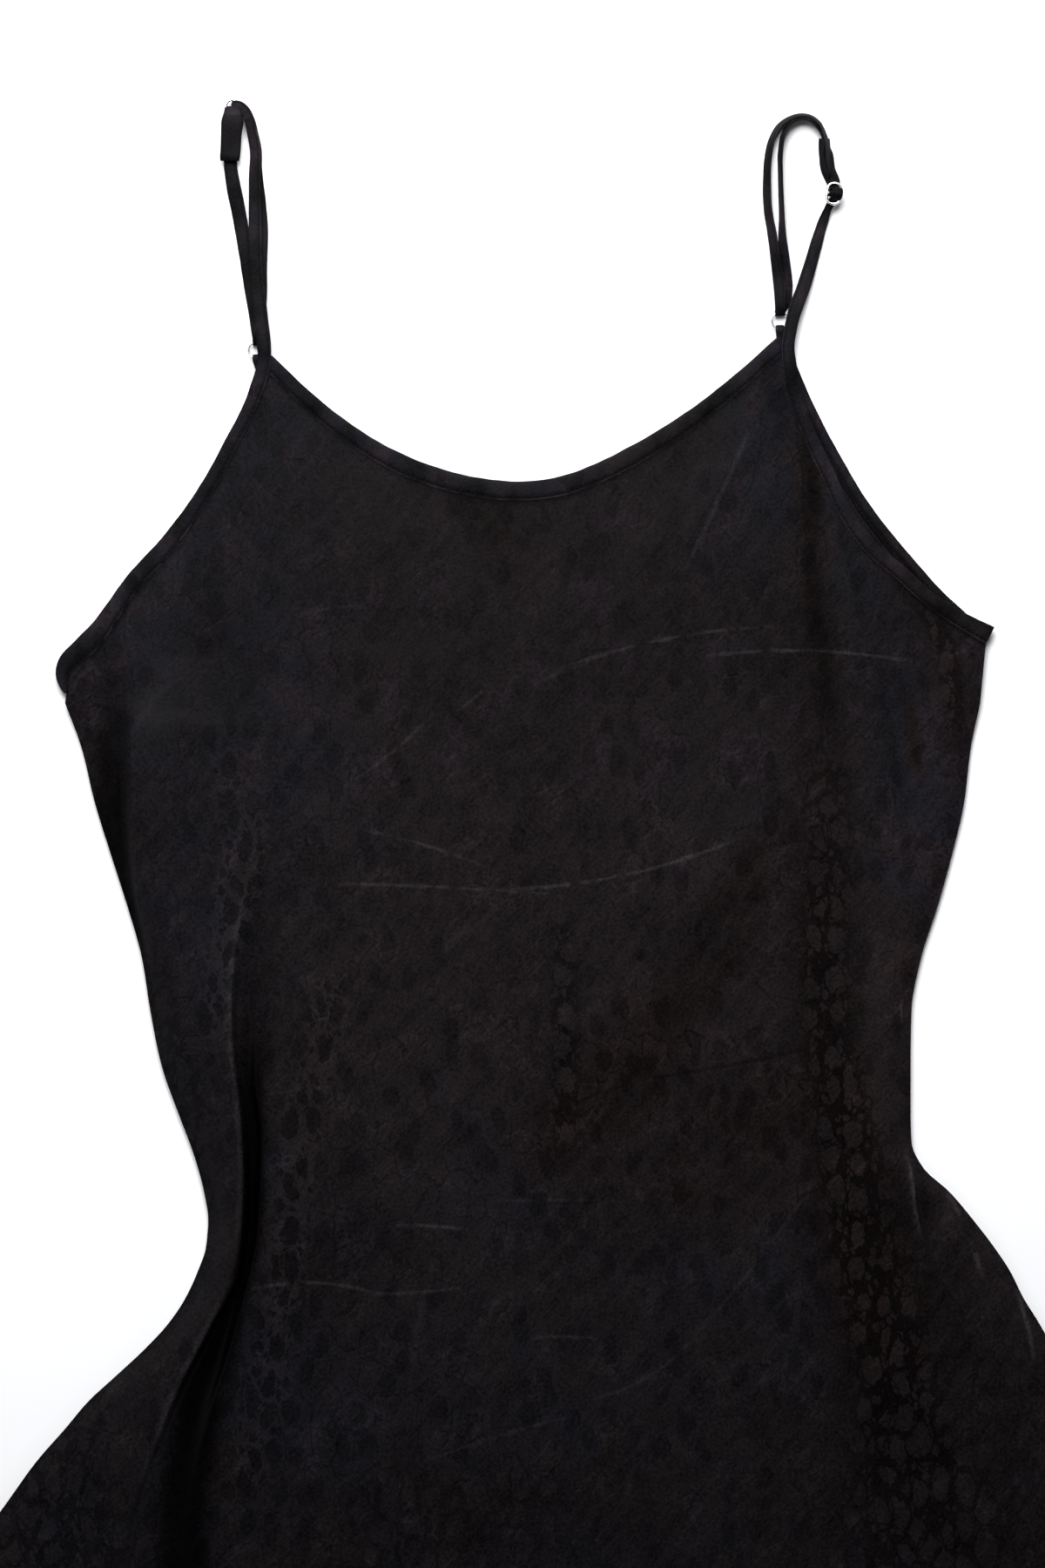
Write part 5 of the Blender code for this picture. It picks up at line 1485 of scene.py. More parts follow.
@dataclass
class FrontPanel(Panel):
    """Front of the dress, with its folds, puckers and rolled sides."""

    name: str = "front_cloth"
    counts: tuple = (10, 20, 10, 5, 10, 10, 80, 20, 5, 15)
    top_counts: tuple = (65, 80, 40)
    floor_gap: float = 1.3
    pucker: float = 0.14
    pucker_reach: float = 8.0
    seam_shade: float = 0.85
    gully_top: float = 135.0
    gully_head: float = 30.0
    turning: float = 8.0
    turning_rise: float = 0.35
    turning_edge: float = 0.8

    def guide_lines(self) -> list[Guide]:
        """Lines that the mesh's columns follow: the seams and the main folds."""

        def beside(rows: list, shift: float = 0.0) -> Guide:
            """A line beside a table's own."""
            return lambda y: float(table(rows, "x", y)) + shift

        lip = beside(GULLY_LIP)
        bank = beside(GULLY_BANK)

        def low(y: float) -> float:
            """How far a level lies below the gully's head, from 0 to 1."""
            return float(np.clip((self.gully_top - y) / self.gully_head, 0, 1))

        return [
            lambda y: float(table(SECTIONS, "left", y)),
            beside(LAP_LINE),
            lip,
            beside(GULLY_LIP, 3.0),
            lambda y: low(y) * (bank(y) - 3.0) + (1 - low(y)) * (lip(y) + 7.0),
            lambda y: low(y) * bank(y) + (1 - low(y)) * (lip(y) + 10.5),
            beside(LEFT_RIDGE),
            beside(RIGHT_VALLEY),
            beside(RIGHT_LAP_LINE),
            beside(RIGHT_LAP_LINE, 2.6),
            lambda y: float(table(SECTIONS, "right", y)),
        ]

    def flat_grid(self) -> np.ndarray:
        """The panel's mesh points, seen from above."""
        edges = (FRONT_ARMHOLE_LEFT, FRONT_NECK, FRONT_ARMHOLE_RIGHT)
        top = self.form.top_edge(edges, self.top_counts)
        return self.form.grid(
            self.guide_lines(), self.counts, top, self.top_rows, self.levels(), self.hem_rows
        )

    def puckers(self, flat: np.ndarray) -> np.ndarray:
        """Small gathers that stitching pulls along the bound edges."""
        below, along = self.edge_run(flat)
        wave = np.sin(along / 1.9 + 1.6 * np.sin(along / 11.3)) * np.sin(along / 7.1 + 0.7)
        wave = wave + 0.6 * np.sin(along / 3.4 + 2.1 * np.sin(along / 17.0))
        return self.pucker * wave * np.exp(-((below / self.pucker_reach) ** 2))

    def build(self) -> Piece:
        """Mesh the panel and dress it."""
        flat = self.flat_grid()
        height = self.form.height(flat[..., 0], flat[..., 1]) + self.puckers(flat)
        hem = self.form.hem_line(flat[..., 0]) + self.turning
        doubled = np.clip((hem - flat[..., 1]) / self.turning_edge, 0, 1)
        height = height + self.turning_rise * doubled
        upper = np.dstack([flat, height])
        lower = upper - self.form.wall * grid_normals(upper)
        lower[..., 2] = np.maximum(lower[..., 2], self.floor_gap)
        for edge in ((0, slice(None)), (-1, slice(None)), (slice(None), 0), (slice(None), -1)):
            lower[edge][..., :2] = upper[edge][..., :2]
        piece = mesh_object(self.name, *shell(upper, lower), self.finish, self.rim(flat))
        self.shades(piece.data, flat, FRONT_BANDS, self.seam_shade)
        attach(piece, "cloth", "front_panel")
        self.cut_size(flat)
        self.cut_area(flat)
        return piece


@dataclass
class BackPanel(Panel):
    """Back of the dress, flat on the floor under the front."""

    name: str = "back_cloth"
    wall: float = 0.9
    inset: float = 0.8
    middle: tuple = (-110.0, 112.0)
    lean: float = 0.15
    counts: tuple = (16, 42, 16)
    fine_step: float = 6.0
    coarse_step: float = 10.0
    top_rows: int = 24

    def flat_grid(self) -> np.ndarray:
        """The panel's mesh points, seen from above."""
        left, right = self.middle
        lines = [
            lambda y: float(table(SECTIONS, "left", y)) + self.inset,
            lambda y: left + min(y, 0) * self.lean,
            lambda y: right - min(y, 0) * self.lean,
            lambda y: float(table(SECTIONS, "right", y)) - self.inset,
        ]
        top = self.form.top_edge((BACK_ARMHOLE_LEFT, BACK_NECK, BACK_ARMHOLE_RIGHT), self.counts)
        return self.form.grid(lines, self.counts, top, self.top_rows, self.levels(), self.hem_rows)

    def build(self) -> Piece:
        """Mesh the panel and dress it."""
        flat = self.flat_grid()
        upper = np.dstack([flat, np.full(flat.shape[:2], self.wall)])
        lower = np.dstack([flat, np.zeros(flat.shape[:2])])
        piece = mesh_object(self.name, *shell(upper, lower), self.finish, self.rim(flat))
        self.shades(piece.data, flat, BACK_BANDS)
        attach(piece, "cloth", "back_panel")
        self.cut_size(flat)
        self.cut_area(flat)
        return piece


@dataclass(frozen=True)
class BandProfile:
    """Cross-section of a folded strip, dipped where it is stitched down."""

    sides: int = 30
    groove: float = 0.0
    dip: float = 0.16
    dark: float = 0.065
    side_round: float = 0.62
    top_round: float = 0.60
    dip_width: float = 0.09
    half_edge: tuple = (0.05, 0.2)
    ledge_edge: tuple = (0.06, 0.04)
    face: float = 0.05

    def points(self) -> np.ndarray:
        """Points round the section, across and up, each from -0.5 to 0.5."""
        turn = np.linspace(0, 2 * math.pi, self.sides, endpoint=False)
        c, s = np.cos(turn), np.sin(turn)
        across = 0.5 * np.sign(c) * np.abs(c) ** self.side_round
        up = 0.5 * np.sign(s) * np.abs(s) ** self.top_round
        if self.groove:
            valley = self.dip * np.exp(-(((across - self.groove) / self.dip_width) ** 2))
            up = up - np.where(up > 0, valley, 0)
        return np.stack([across, up], 1)

    def shade(self, piece: Piece, inner: np.ndarray, whole: np.ndarray) -> None:
        """Store the painted shade in the groove and the painted highlight on the ledge beside it, with
        the strip's other painted shade.

        Args:
            piece: the strip's mesh.
            inner: how dark the painted shade on the half towards the cloth is, at each section.
            whole: how much all of it is darkened, at each section.
        """
        across, up = self.points().T
        deep = np.exp(-(((across - self.groove) / self.dark) ** 2)) * (up > 0)
        half = np.clip((self.half_edge[0] - across * np.sign(-self.groove)) / self.half_edge[1], 0, 1)
        deep = np.maximum(np.maximum(deep, inner[:, None] * half), whole[:, None])
        past = (across - self.groove) * np.sign(self.groove)
        ledge_highlight = np.clip((past - self.ledge_edge[0]) / self.ledge_edge[1], 0, 1)
        ledge_highlight = ledge_highlight * (up > self.face) * (1 - whole[:, None])
        store(piece.data, "painted_shade", deep)
        store(piece.data, "painted_highlight", ledge_highlight)


@dataclass
class Ribbon:
    """A strip carried along its rows of place, direction, width and thickness."""

    rows: np.ndarray
    count: int
    gather: float = 0.05
    waver: float = 0.012
    spot: np.ndarray = field(init=False)
    across: np.ndarray = field(init=False)
    up: np.ndarray = field(init=False)
    width: np.ndarray = field(init=False)
    thick: np.ndarray = field(init=False)

    def __post_init__(self) -> None:
        """Work out the strip's frames along a smooth curve."""
        step = np.linalg.norm(np.diff(self.rows[:, :3], axis=0), axis=1)
        keys = np.concatenate([[0], np.cumsum(step)])
        share = np.concatenate([[0], np.cumsum(np.sqrt(step))])
        at = np.interp(np.linspace(0, share[-1], self.count), share, keys)
        fine = np.stack([catmull(keys, self.rows[:, k], at) for k in range(8)], 1)
        self.spot = fine[:, :3]
        run = np.gradient(self.spot, axis=0)
        run /= np.linalg.norm(run, axis=1, keepdims=True)
        across = fine[:, 3:6]
        across -= run * np.sum(across * run, axis=1, keepdims=True)
        self.across = across / np.linalg.norm(across, axis=1, keepdims=True)
        self.up = np.cross(run, self.across)
        wave = np.sin(at / 2.1 + 1.8 * np.sin(at / 9.7)) + 0.7 * np.sin(at / 3.9 + np.sin(at / 15.0))
        self.width = fine[:, 6] * (1 + self.waver * wave)
        self.thick = fine[:, 7] * (1 + self.gather * wave)

    def facing(self) -> np.ndarray:
        """Direction of the strip's face at each frame, upward at its first third."""
        return self.up * (np.sign(self.up[len(self.up) // 3, 2]) or 1.0)

    def rings(self, profile: BandProfile) -> list[np.ndarray]:
        """Sections of the strip, one at each frame."""
        shape = profile.points()
        facing = self.facing()
        out = []
        for k, spot in enumerate(self.spot):
            side = self.across[k] * self.width[k]
            rise = facing[k] * self.thick[k]
            out.append(spot + np.outer(shape[:, 0], side) + np.outer(shape[:, 1], rise))
        return out

    def line(self, share: float, lift: float, first: int, last: int) -> np.ndarray:
        """A line on the strip's face for stitches to follow.

        Args:
            share: place across, from -0.5 to 0.5.
            lift: height over the middle, as a share of the thickness.
            first: frame that it starts at.
            last: frame that it ends before.

        Returns:
            Points of the line.
        """
        rise = self.facing() * (self.thick * lift)[:, None]
        points = self.spot + self.across * (self.width * share)[:, None] + rise
        return points[first:last]


def binding_rows(
    cut: Sequence[Edge], free: Sequence[Edge], level: Level, thick: float, count: int,
    flip: bool = False,
) -> np.ndarray:
    """Rows of a ribbon between a panel's cut edge and the binding's free edge.

    Args:
        cut: the panel's cut edge.
        free: the binding's free edge, running the same way.
        level: height of the binding's middle at a point.
        thick: the binding's thickness.
        count: how many rows.
        flip: whether the width points back towards the panel.

    Returns:
        An array of count by eight.
    """
    inner, outer = curve_through(cut, count), curve_through(free, count)
    rows = []
    for a, b in zip(inner, outer):
        wide = float(np.linalg.norm(b - a))
        step = (b - a) / wide * (-1 if flip else 1)
        middle = (a + b) / 2
        rows.append((*middle, level(*a), *step, 0.0, wide + STRIP_OVERLAP, thick))
    return np.array(rows)


def station_rows(stations: Sequence[Station]) -> np.ndarray:
    """Rows of a ribbon from a strap's stations."""
    rows = []
    for s in stations:
        az, tilt = math.radians(s.across), math.radians(s.tilt)
        flat = math.cos(tilt)
        across = (flat * math.cos(az), flat * math.sin(az), math.sin(tilt))
        rows.append((s.x, s.y, s.z, *across, s.width, s.thick))
    return np.array(rows)


class Placement(NamedTuple):
    """A slider's centre and its three directions."""

    centre: np.ndarray
    along: np.ndarray
    across: np.ndarray
    up: np.ndarray


@dataclass
class Slider:
    """Wire slider with a middle bar that a strap runs over."""

    side: Side
    x: float
    y: float
    z: float
    heading: float
    long: float = 11.4
    wide: float = 7.0
    wire: float = 1.2
    corner: float = 3.0
    segments: int = 72
    bar_segments: int = 9
    bar_share: float = 0.45

    def placement(self) -> Placement:
        """Where the slider lies, level above the strap."""
        angle = math.radians(self.heading)
        along = np.array([math.cos(angle), math.sin(angle), 0.0])
        side = np.array([-math.sin(angle), math.cos(angle), 0.0])
        rise = np.array([0.0, 0.0, 1.0])
        centre = np.array([self.x, self.y, self.z])
        return Placement(centre, along, side, rise)

    def passing(
        self, passes: Sequence[Pass], across: float, tilt: float, thick: float = 1.1
    ) -> list[Station]:
        """Strap stations for a run round the slider's bars."""
        at = self.placement()
        out = []
        for p in passes:
            spot = at.centre + at.along * p.along + at.up * p.up + at.across * p.aside
            out.append(Station(*spot, across, tilt, p.width, thick))
        return out

    def wire_rings(self) -> list[np.ndarray]:
        """Sections of the oblong frame's wire."""
        at = self.placement()
        half_long, half_wide = (self.long - self.wire) / 2, (self.wide - self.wire) / 2
        turn = (np.arange(self.segments) + 0.5) * 2 * math.pi / self.segments
        c, s = np.cos(turn), np.sin(turn)
        a = np.copysign(half_long - self.corner, c) + self.corner * c
        b = np.copysign(half_wide - self.corner, s) + self.corner * s
        out = []
        for k in range(self.segments):
            nxt = (k + 1) % self.segments
            run = np.array([a[nxt] - a[k - 1], b[nxt] - b[k - 1]])
            run /= np.linalg.norm(run)
            side = at.along * run[1] - at.across * run[0]
            spot = at.centre + at.along * a[k] + at.across * b[k]
            out.append(spot + wire_section(side, at.up) * self.wire / 2)
        return out

    def bar_rings(self) -> list[np.ndarray]:
        """Sections of the middle bar."""
        at = self.placement()
        reach = (self.wide - self.wire) / 2
        section = wire_section(at.along, at.up) * self.wire * self.bar_share
        shares = np.linspace(-1, 1, self.bar_segments)
        return [at.centre + at.across * (share * reach) + section for share in shares]

    def build(self, finish: Material) -> Piece:
        """Mesh the slider and fix it in place of its solid."""
        frame_points, frame_faces = tube(self.wire_rings(), True)
        bar_points, bar_faces = tube(self.bar_rings(), False)
        shift = len(frame_points)
        faces = frame_faces + [tuple(v + shift for v in f) for f in bar_faces]
        points = np.concatenate([frame_points, bar_points])
        piece = mesh_object(f"wire_slider_{self.side.value}", points, faces, finish)
        return attach(piece, "metal", f"slider_{self.side.value}")


@dataclass
class StrapRing:
    """Round ring that ties a strap to the back, with its small loop of strip."""

    side: Side
    x: float
    y: float
    foot: tuple
    level: float = 2.2
    radius: float = 4.0
    wire: float = 1.0
    segments: int = 56
    strip: float = 0.9
    strip_frames: int = 70
    bend: float = 1.5
    half_bend: tuple = (0.44, 0.71)

    def turn(self, way: int, across: float, width: float) -> list[Station]:
        """Stations of a band folded through the ring, from its upper leg to its lower one."""
        wire = self.y + way * self.radius
        tip = wire - way * self.bend
        back, up = self.half_bend
        half = tip + way * back
        return [
            Station(self.x, y, self.level + self.bend * rise, across, 0, width, self.strip)
            for y, rise in ((wire, 1), (half, up), (tip, 0), (half, -up), (wire, -1))
        ]

    def tab_stations(self) -> list[Station]:
        """Stations of the loop that holds the ring to the back's peak."""
        x, y = self.foot
        mid_x, mid_y = (x + self.x) / 2, (y + self.y - self.radius) / 2
        thick = self.strip
        rows = [Station(x, y, 1.9, 180, 0, 5.0, thick), Station(mid_x, mid_y, 2.8, 180, 0, 4.6, thick)]
        rows += self.turn(-1, 180, 4.0)
        rows += [Station(mid_x, mid_y, 0.6, 180, 0, 4.6, thick), Station(x, y, 0.6, 180, 0, 5.0, thick)]
        return rows

    def build(self, finishes: Finishes) -> list[Piece]:
        """Mesh the ring and its loop in place of their solids."""
        centre = np.array([self.x, self.y, self.level])
        rings = []
        for angle in np.linspace(0, 2 * math.pi, self.segments, endpoint=False):
            out = np.array([math.cos(angle), math.sin(angle), 0.0])
            rings.append(centre + out * self.radius + wire_section(out, (0, 0, 1)) * self.wire / 2)
        side = self.side.value
        ring = mesh_object(f"wire_ring_{side}", *tube(rings, True), finishes.metal)
        attach(ring, "metal", f"ring_{side}")
        loop = Ribbon(station_rows(self.tab_stations()), self.strip_frames, gather=0.02)
        skin = tube(loop.rings(BandProfile()), False)
        tab = mesh_object(f"ring_loop_{side}", *skin, finishes.strip)
        return [ring, attach(tab, "binding", f"ring_tab_{side}")]


@dataclass
class Bindings:
    """Bias strips round the neck and the back's armholes."""

    form: ClothForm
    finish: Material
    front_thick: float = 2.0
    back_thick: float = 1.8
    neck_groove: float = -0.33
    tuck: float = 3.2
    tuck_drop: float = 1.5
    sunk: float = 0.6
    neck_width: float = 6.4
    arm_width: float = 6.0
    back_groove: float = -0.3
    inner_shade: float = 0.85
    front_rows: int = 60
    front_frames: int = 300
    back_rows: int = 34
    back_frames: int = 190
    lines: list = field(default_factory=list)

    def front_level(self, x: float, y: float) -> float:
        """Middle of a front binding's thickness."""
        return float(self.form.height(np.array(x), np.array(y))) - self.sunk

    def back_level(self, x: float, y: float) -> float:
        """Middle of a back binding's thickness, flat on the floor."""
        return self.back_thick / 2

    @staticmethod
    def offset(edge: Sequence[Edge], distance: float) -> list[Edge]:
        """An edge moved sideways, to the left of its own direction."""
        points = np.array(edge)
        run = np.gradient(points, axis=0)
        run /= np.linalg.norm(run, axis=1, keepdims=True)
        return [Edge(*p) for p in points + distance * np.stack([-run[:, 1], run[:, 0]], 1)]

    @staticmethod
    def lengthened(edge: Sequence[Edge], more: float) -> list[Edge]:
        """An edge carried straight on past both of its ends."""
        points = np.array(edge)
        first, last = points[0] - points[1], points[-1] - points[-2]
        start = points[0] + first / np.linalg.norm(first) * more
        end = points[-1] + last / np.linalg.norm(last) * more
        return [Edge(*start), *edge, Edge(*end)]

    def strip(self, name: str, node: str, rows: np.ndarray, count: int, groove: float) -> Piece:
        """Skin one binding and keep its stitch line."""
        ribbon = Ribbon(rows, count)
        self.lines.append(ribbon.line(groove, STITCH_LIFT, 2, count - 2))
        shape = BandProfile(groove=groove)
        piece = mesh_object(name, *tube(ribbon.rings(shape), False), self.finish)
        # Back bindings get painted shade on their half towards the cloth, under the front's edge.
        inner = 0.0 if name == "neck_strip_front" else self.inner_shade
        shape.shade(piece, np.full(count, inner), np.zeros(count))
        return attach(piece, "binding", node)

    def build(self) -> list[Piece]:
        """Make the neck bindings and the back's armhole bindings."""
        cut, free = (self.lengthened(edge, self.tuck) for edge in (FRONT_NECK, FRONT_NECK_TOP))
        front = binding_rows(cut, free, self.front_level, self.front_thick, self.front_rows)
        front[[0, -1], 2] -= self.tuck_drop
        neck_free = self.offset(BACK_NECK, self.neck_width)
        left_free = self.offset(BACK_ARMHOLE_LEFT, self.arm_width)
        right_free = self.offset(BACK_ARMHOLE_RIGHT, self.arm_width)
        neck_free[0], neck_free[-1] = Edge(-127.4, 418.0), Edge(117.4, 432.2)
        left_free[-1], right_free[0] = Edge(-134.6, 414.6), Edge(124.8, 427.6)
        count, groove = self.front_frames, self.neck_groove
        pieces = [self.strip("neck_strip_front", "front_neck_binding", front, count, groove)]
        for name, node, cut, free in (
            ("neck_strip_back", "back_neck_binding", BACK_NECK, neck_free),
            ("armhole_strip_back_left", "back_armhole_binding_left", BACK_ARMHOLE_LEFT, left_free),
            ("armhole_strip_back_right", "back_armhole_binding_right", BACK_ARMHOLE_RIGHT, right_free),
        ):
            rows = binding_rows(cut, free, self.back_level, self.back_thick, self.back_rows)
            pieces.append(self.strip(name, node, rows, self.back_frames, self.back_groove))
        return pieces


@dataclass
class ArmholeStrap:
    """Front armhole binding that runs on as the strap, through slider and ring."""

    side: Side
    cut: Sequence[Edge]
    free: Sequence[Edge]
    stations: Sequence[Station]
    groove: float
    level: Level
    finish: Material
    count: int = 560
    rows_on_armhole: int = 44
    stitched_share: float = 0.42
    shaded: float = 0.0
    end_shade: float = 0.0
    behind: tuple = (0.0, 0.0)
    behind_shade: float = 0.36
    thick: float = 2.0
    strap_thick: float = 1.5
    start_share: float = 0.075
    outer_share: float = 0.3
    folded_frames: int = 26
    fade_frames: int = 5

    def build(self) -> tuple[Piece, np.ndarray]:
        """Skin the whole strip and return it with its stitch line."""
        side = self.side.value
        count, flip = self.rows_on_armhole, self.side is Side.RIGHT
        rows = binding_rows(self.cut, self.free, self.level, self.thick, count, flip)[:-1]
        rows[:, 7] = np.linspace(self.thick, self.strap_thick, len(rows))
        ribbon = Ribbon(np.concatenate([rows, station_rows(self.stations)]), self.count)
        shape = BandProfile(groove=self.groove)
        skin = tube(ribbon.rings(shape), False)
        piece = mesh_object(f"armhole_strip_and_strap_{side}", *skin, self.finish)
        # Painted shade on the strip's first stretch by the underarm and on the stretches of strand that
        # run behind the others; the turned end is made darker.
        step = np.arange(self.count)
        start = np.exp(-((step / (self.start_share * self.count)) ** 4))
        folded = (step > self.count - self.folded_frames) * self.end_shade
        first, last = (share * self.count for share in self.behind)
        hidden = np.clip((step - first) / self.fade_frames, 0, 1)
        hidden = hidden * np.clip((last - step) / self.fade_frames, 0, 1) * self.behind_shade
        whole = np.maximum(np.maximum(start * self.shaded * self.outer_share, folded), hidden)
        shape.shade(piece, start * self.shaded, whole)
        attach(piece, "binding", f"front_armhole_binding_{side}", f"strap_{side}")
        return piece, ribbon.line(self.groove, STITCH_LIFT, 2, int(self.count * self.stitched_share))


@dataclass
class Stitching:
    """Rows of stitches, laid along guide lines by a node tree."""

    name: str
    thread: Material
    pitch: float = 2.5
    length: float = 1.9
    thickness: float = 0.34
    uneven: float = 0.14
    seed: int = 7

    def tree(self) -> bpy.types.NodeTree:
        """The tree that turns guide lines into stitches, made once."""
        found = bpy.data.node_groups.get("stitch_row")
        if found:
            return found
        tree = bpy.data.node_groups.new("stitch_row", "GeometryNodeTree")
        face = tree.interface
        face.new_socket(name="Guide", in_out="INPUT", socket_type="NodeSocketGeometry")
        for key in ("Pitch", "Length", "Thickness", "Uneven"):
            face.new_socket(name=key, in_out="INPUT", socket_type="NodeSocketFloat")
        face.new_socket(name="Seed", in_out="INPUT", socket_type="NodeSocketInt")
        face.new_socket(name="Thread", in_out="INPUT", socket_type="NodeSocketMaterial")
        face.new_socket(name="Stitches", in_out="OUTPUT", socket_type="NodeSocketGeometry")
        g = Graph(tree)
        given = tree.nodes.new("NodeGroupInput").outputs
        line = g.node("GeometryNodeMeshToCurve", Mesh=given["Guide"]).outputs[0]
        by_length = {"mode": "LENGTH"}
        spaced = g.node("GeometryNodeResampleCurve", by_length, Curve=line, Length=given["Pitch"])
        bead = g.node("GeometryNodeMeshUVSphere", Segments=8, Rings=6, Radius=0.5)
        thick = given["Thickness"]
        size = g.node("ShaderNodeCombineXYZ", X=given["Length"], Y=thick, Z=thick)
        shaped = g.node("GeometryNodeTransform", Geometry=bead.outputs["Mesh"], Scale=size.outputs[0])
        tangent = g.node("GeometryNodeInputTangent")
        turn = g.node("FunctionNodeAlignRotationToVector", {"axis": "X"}, Vector=tangent.outputs[0])
        low = g.minus(1.0, given["Uneven"])
        high = g.plus(1.0, given["Uneven"])
        vary = g.node("FunctionNodeRandomValue", {"data_type": "FLOAT"})
        for key, value in (("Min", low), ("Max", high)):
            g.feed([s for s in vary.inputs if s.name == key and s.enabled][0], value)
        g.feed([s for s in vary.inputs if s.name == "Seed"][0], given["Seed"])
        scale = g.node("ShaderNodeCombineXYZ", Y=1.0, Z=1.0)
        g.feed(scale.inputs["X"], [s for s in vary.outputs if s.enabled][0])
        laid = g.node(
            "GeometryNodeInstanceOnPoints", Points=spaced.outputs[0], Instance=shaped.outputs[0],
            Rotation=turn.outputs[0], Scale=scale.outputs[0],
        )
        real = g.node("GeometryNodeRealizeInstances", Geometry=laid.outputs[0])
        smooth = g.node("GeometryNodeSetShadeSmooth", Geometry=real.outputs[0])
        done = g.node("GeometryNodeSetMaterial", Geometry=smooth.outputs[0], Material=given["Thread"])
        result = tree.nodes.new("NodeGroupOutput")
        tree.links.new(done.outputs[0], result.inputs["Stitches"])
        return tree

    def build(self, lines: Sequence[np.ndarray]) -> Piece:
        """Lay stitches along every line and return them as one plain mesh.

        Args:
            lines: guide lines in millimetres.

        Returns:
            The finished piece.
        """
        points, edges = [], []
        for line in lines:
            start = len(points)
            points.extend((np.asarray(line) * MM).tolist())
            edges.extend((start + k, start + k + 1) for k in range(len(line) - 1))
        mesh = bpy.data.meshes.new(self.name + "_guide")
        mesh.from_pydata(points, edges, [])
        guide = put(self.name + "_guide", mesh)
        rows = guide.modifiers.new("stitches", "NODES")
        rows.node_group = self.tree()
        values = {
            "Pitch": self.pitch * MM, "Length": self.length * MM, "Thickness": self.thickness * MM,
            "Uneven": self.uneven, "Seed": self.seed, "Thread": self.thread,
        }
        for item in rows.node_group.interface.items_tree:
            if item.in_out == "INPUT" and item.name in values:
                rows[item.identifier] = values[item.name]
        bpy.context.view_layer.update()
        ready = guide.evaluated_get(bpy.context.evaluated_depsgraph_get())
        made = bpy.data.meshes.new_from_object(ready)
        made.name = self.name
        guide.modifiers.clear()
        bpy.data.objects.remove(guide)
        return attach(put(self.name, made), None)


@dataclass
class Studio:
    """Pale table, soft light and a camera straight above."""

    centre_x: float = -6.3
    centre_y: float = 223.0
    seen_height: float = 756.0
    lens: float = 85.0
    sensor: float = 36.0
    key_place: tuple = (-0.15, 1.20, 1.02)
    key_size: float = 1.04
    key_power: float = 44.0
    fill_place: tuple = (-1.9, -0.1, 1.5)
    fill_power: float = 4.2
    sky: float = 0.53
    ceiling: float = 0.02
    sky_edge: float = 0.38
    ceiling_edge: float = 0.72
    fill_size: float = 1.2
    aim: tuple = (0.0, 0.10, 0.0)
    focus: float = 0.004
    floor_y: float = -20.0
    floor_half: float = 2600.0

    def floor(self) -> Piece:
        """The pale table top, just under the dress."""
        middle = np.array([self.centre_x, self.floor_y, 0.0])
        corners = middle + self.floor_half * np.array([(-1, -1, 0), (1, -1, 0), (1, 1, 0), (-1, 1, 0)])
        piece = mesh_object("floor", corners, [(0, 1, 2, 3)], PaleTable().material())
        return piece

    def lights(self) -> None:
        """A window light beyond the neckline, a weak one at the left, and a sky with a dark ceiling."""
        for name, spot, size, power in (
            ("window", self.key_place, self.key_size, self.key_power),
            ("side", self.fill_place, self.fill_size, self.fill_power),
        ):
            data = bpy.data.lights.new(name, "AREA")
            data.shape = "SQUARE"
            data.size = size
            data.energy = power
            lamp = put(name, data)
            lamp.location = spot
            lamp.visible_camera = False
            aim = Vector(self.aim) - Vector(spot)
            lamp.rotation_euler = aim.to_track_quat("-Z", "Y").to_euler()
        world = bpy.data.worlds.new("studio_sky")
        world.use_nodes = True
        g = Graph(world.node_tree)
        way = g.axes(g.node("ShaderNodeTexCoord").outputs["Generated"])
        height = g.step(way["Z"], self.sky_edge, self.ceiling_edge)
        strength = g.blend(height, self.sky, self.sky * self.ceiling)
        background = world.node_tree.nodes["Background"]
        background.inputs["Color"].default_value = (0.985, 0.99, 1.0, 1.0)
        g.feed(background.inputs["Strength"], strength)
        bpy.context.scene.world = world

    def camera(self) -> None:
        """A long lens looking straight down."""
        data = bpy.data.cameras.new("camera")
        data.lens = self.lens
        data.sensor_width = self.sensor
        away = self.seen_height * self.lens / self.sensor * MM
        eye = put("camera", data)
        eye.location = (self.centre_x * MM, self.centre_y * MM, away + self.focus)
        eye.rotation_euler = (0.0, 0.0, 0.0)
        bpy.context.scene.camera = eye

    def build(self) -> None:
        """Set up everything that isn't the dress."""
        self.floor()
        self.lights()
        self.camera()
        bpy.context.scene.view_settings.view_transform = "Standard"


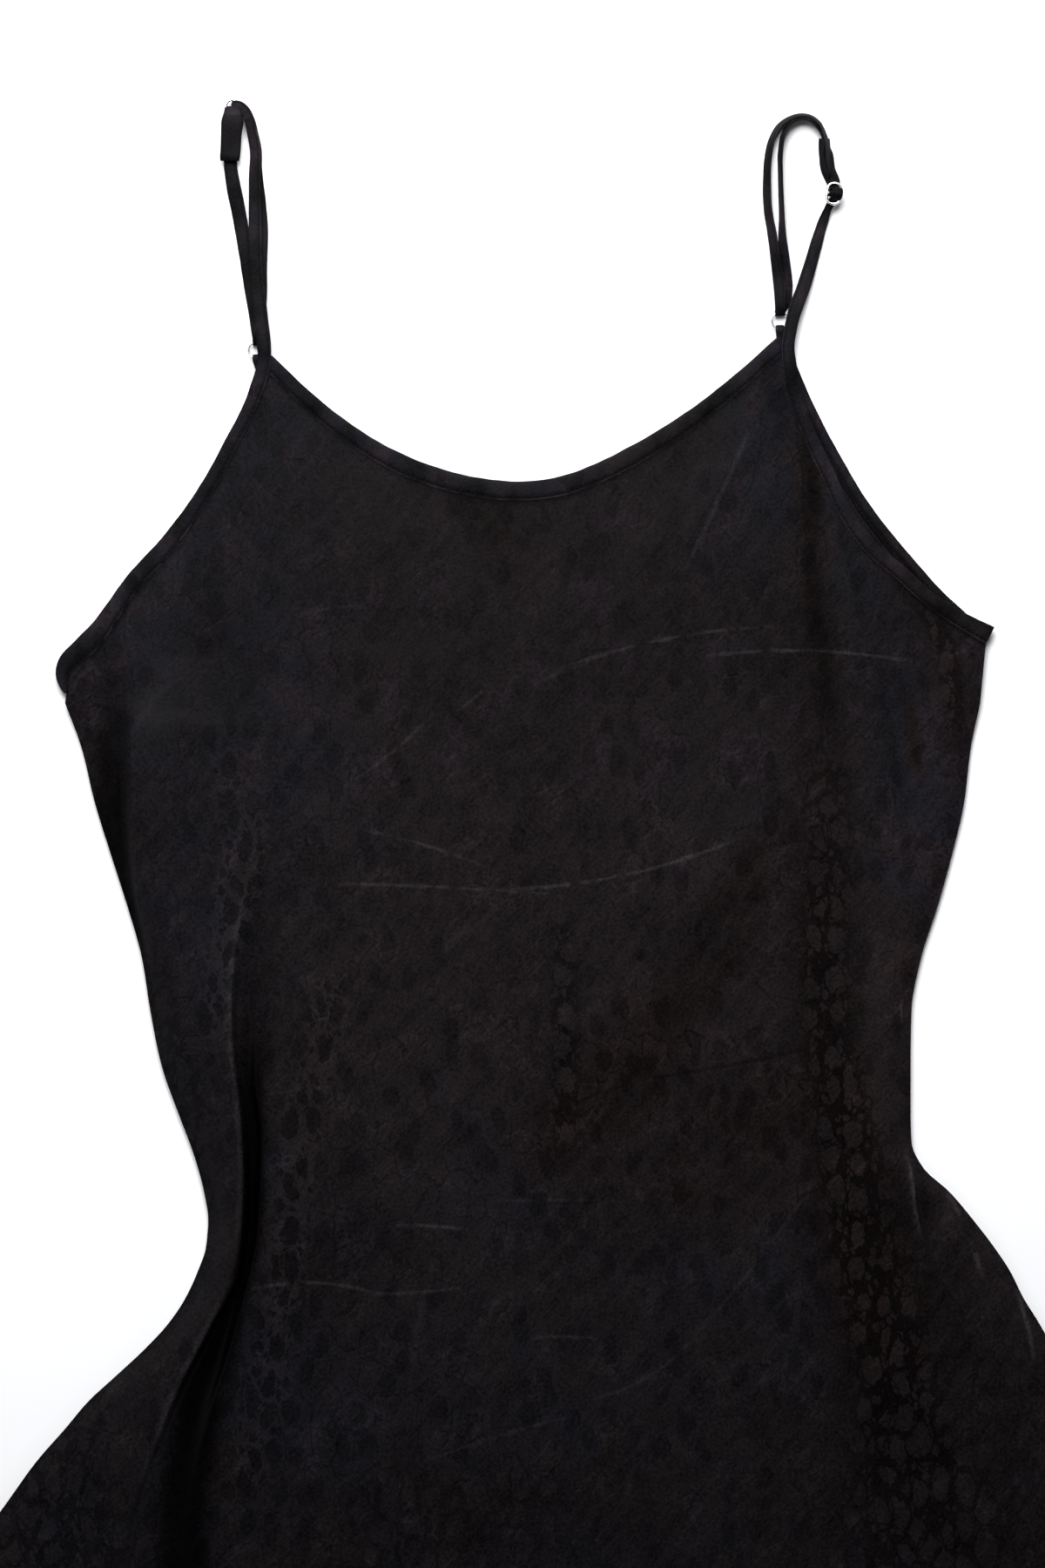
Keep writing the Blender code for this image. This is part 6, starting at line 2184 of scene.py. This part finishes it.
@dataclass
class SlipDress:
    """The whole dress, built piece by piece."""

    form: ClothForm
    finishes: Finishes
    hem_stitch: float = 9.0
    hem_stitch_lift: float = 0.1
    hem_stitch_inset: float = 2.0
    hem_points: int = 340

    def straps(self, level: Level) -> list[np.ndarray]:
        """Straps with sliders and rings; returns their stitch lines."""
        left_ring = StrapRing(Side.LEFT, -134.6, 432.4, (-131.4, 418.9))
        right_ring = StrapRing(Side.RIGHT, 118.0, 446.6, (119.4, 433.4))
        left_slider = Slider(Side.LEFT, -146.3, 547.9, 2.7, 90.0)
        right_slider = Slider(Side.RIGHT, 143.8, 507.5, 5.2, 82.0, wire=1.45)
        left = list(LEFT_FRONT_STRAND)
        left += LEFT_BACK_STRAND + left_ring.turn(1, 180, 4.0) + LEFT_INNER_STRAND
        left += left_slider.passing(FOLDED_OVER_BAR, 180, 0)
        left += LEFT_TURNED_END
        right = list(RIGHT_FRONT_STRAND)
        right += right_slider.passing(OVER_MIDDLE_BAR, 172, 0)
        right += RIGHT_OUTER_STRAND + right_ring.turn(1, 0, 5.0) + RIGHT_INNER_STRAND
        right += right_slider.passing(UP_TO_LOOP + SEWN_LOOP + UNDER_LOOP, 172, 0) + RIGHT_TURNED_END
        strip = self.finishes.strip
        left_cut, right_cut = TURNED_UNDER_LEFT + FRONT_ARMHOLE_LEFT[2:], FRONT_ARMHOLE_RIGHT[::-1]
        straps = (
            ArmholeStrap(
                Side.LEFT, left_cut, FRONT_ARM_FREE_LEFT, left, -0.32, level, strip,
                shaded=0.8, end_shade=0.60, behind=(0.64, 0.955),
            ),
            ArmholeStrap(
                Side.RIGHT, right_cut, FRONT_ARM_FREE_RIGHT, right, 0.32, level, strip,
                count=640, behind=(0.60, 0.71),
            ),
        )
        lines = [strap.build()[1] for strap in straps]
        for part in (left_slider, right_slider):
            part.build(self.finishes.metal)
        for part in (left_ring, right_ring):
            part.build(self.finishes)
        return lines

    def hem_line(self) -> np.ndarray:
        """Guide line of the hem's stitches."""
        half = self.form.hem_half_width - self.hem_stitch_inset
        x = np.linspace(-half, half, self.hem_points)
        y = self.form.hem_line(x) + self.hem_stitch
        return np.stack([x, y, self.form.height(x, y) + self.hem_stitch_lift], 1)

    def build(self) -> None:
        """Build every piece in order."""
        BackPanel(self.form, self.finishes.cloth).build()
        FrontPanel(self.form, self.finishes.cloth).build()
        bindings = Bindings(self.form, self.finishes.strip)
        bindings.build()
        lines = bindings.lines + self.straps(bindings.front_level)
        Stitching("edge_stitching", self.finishes.thread).build(lines)
        hem = Stitching("hem_stitching", self.finishes.thread, pitch=3.0, length=2.3)
        hem.build([self.hem_line()])


def main() -> None:
    """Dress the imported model."""
    Studio().build()
    SlipDress(ClothForm(), Finishes.make()).build()


if __name__ == "__main__":
    main()
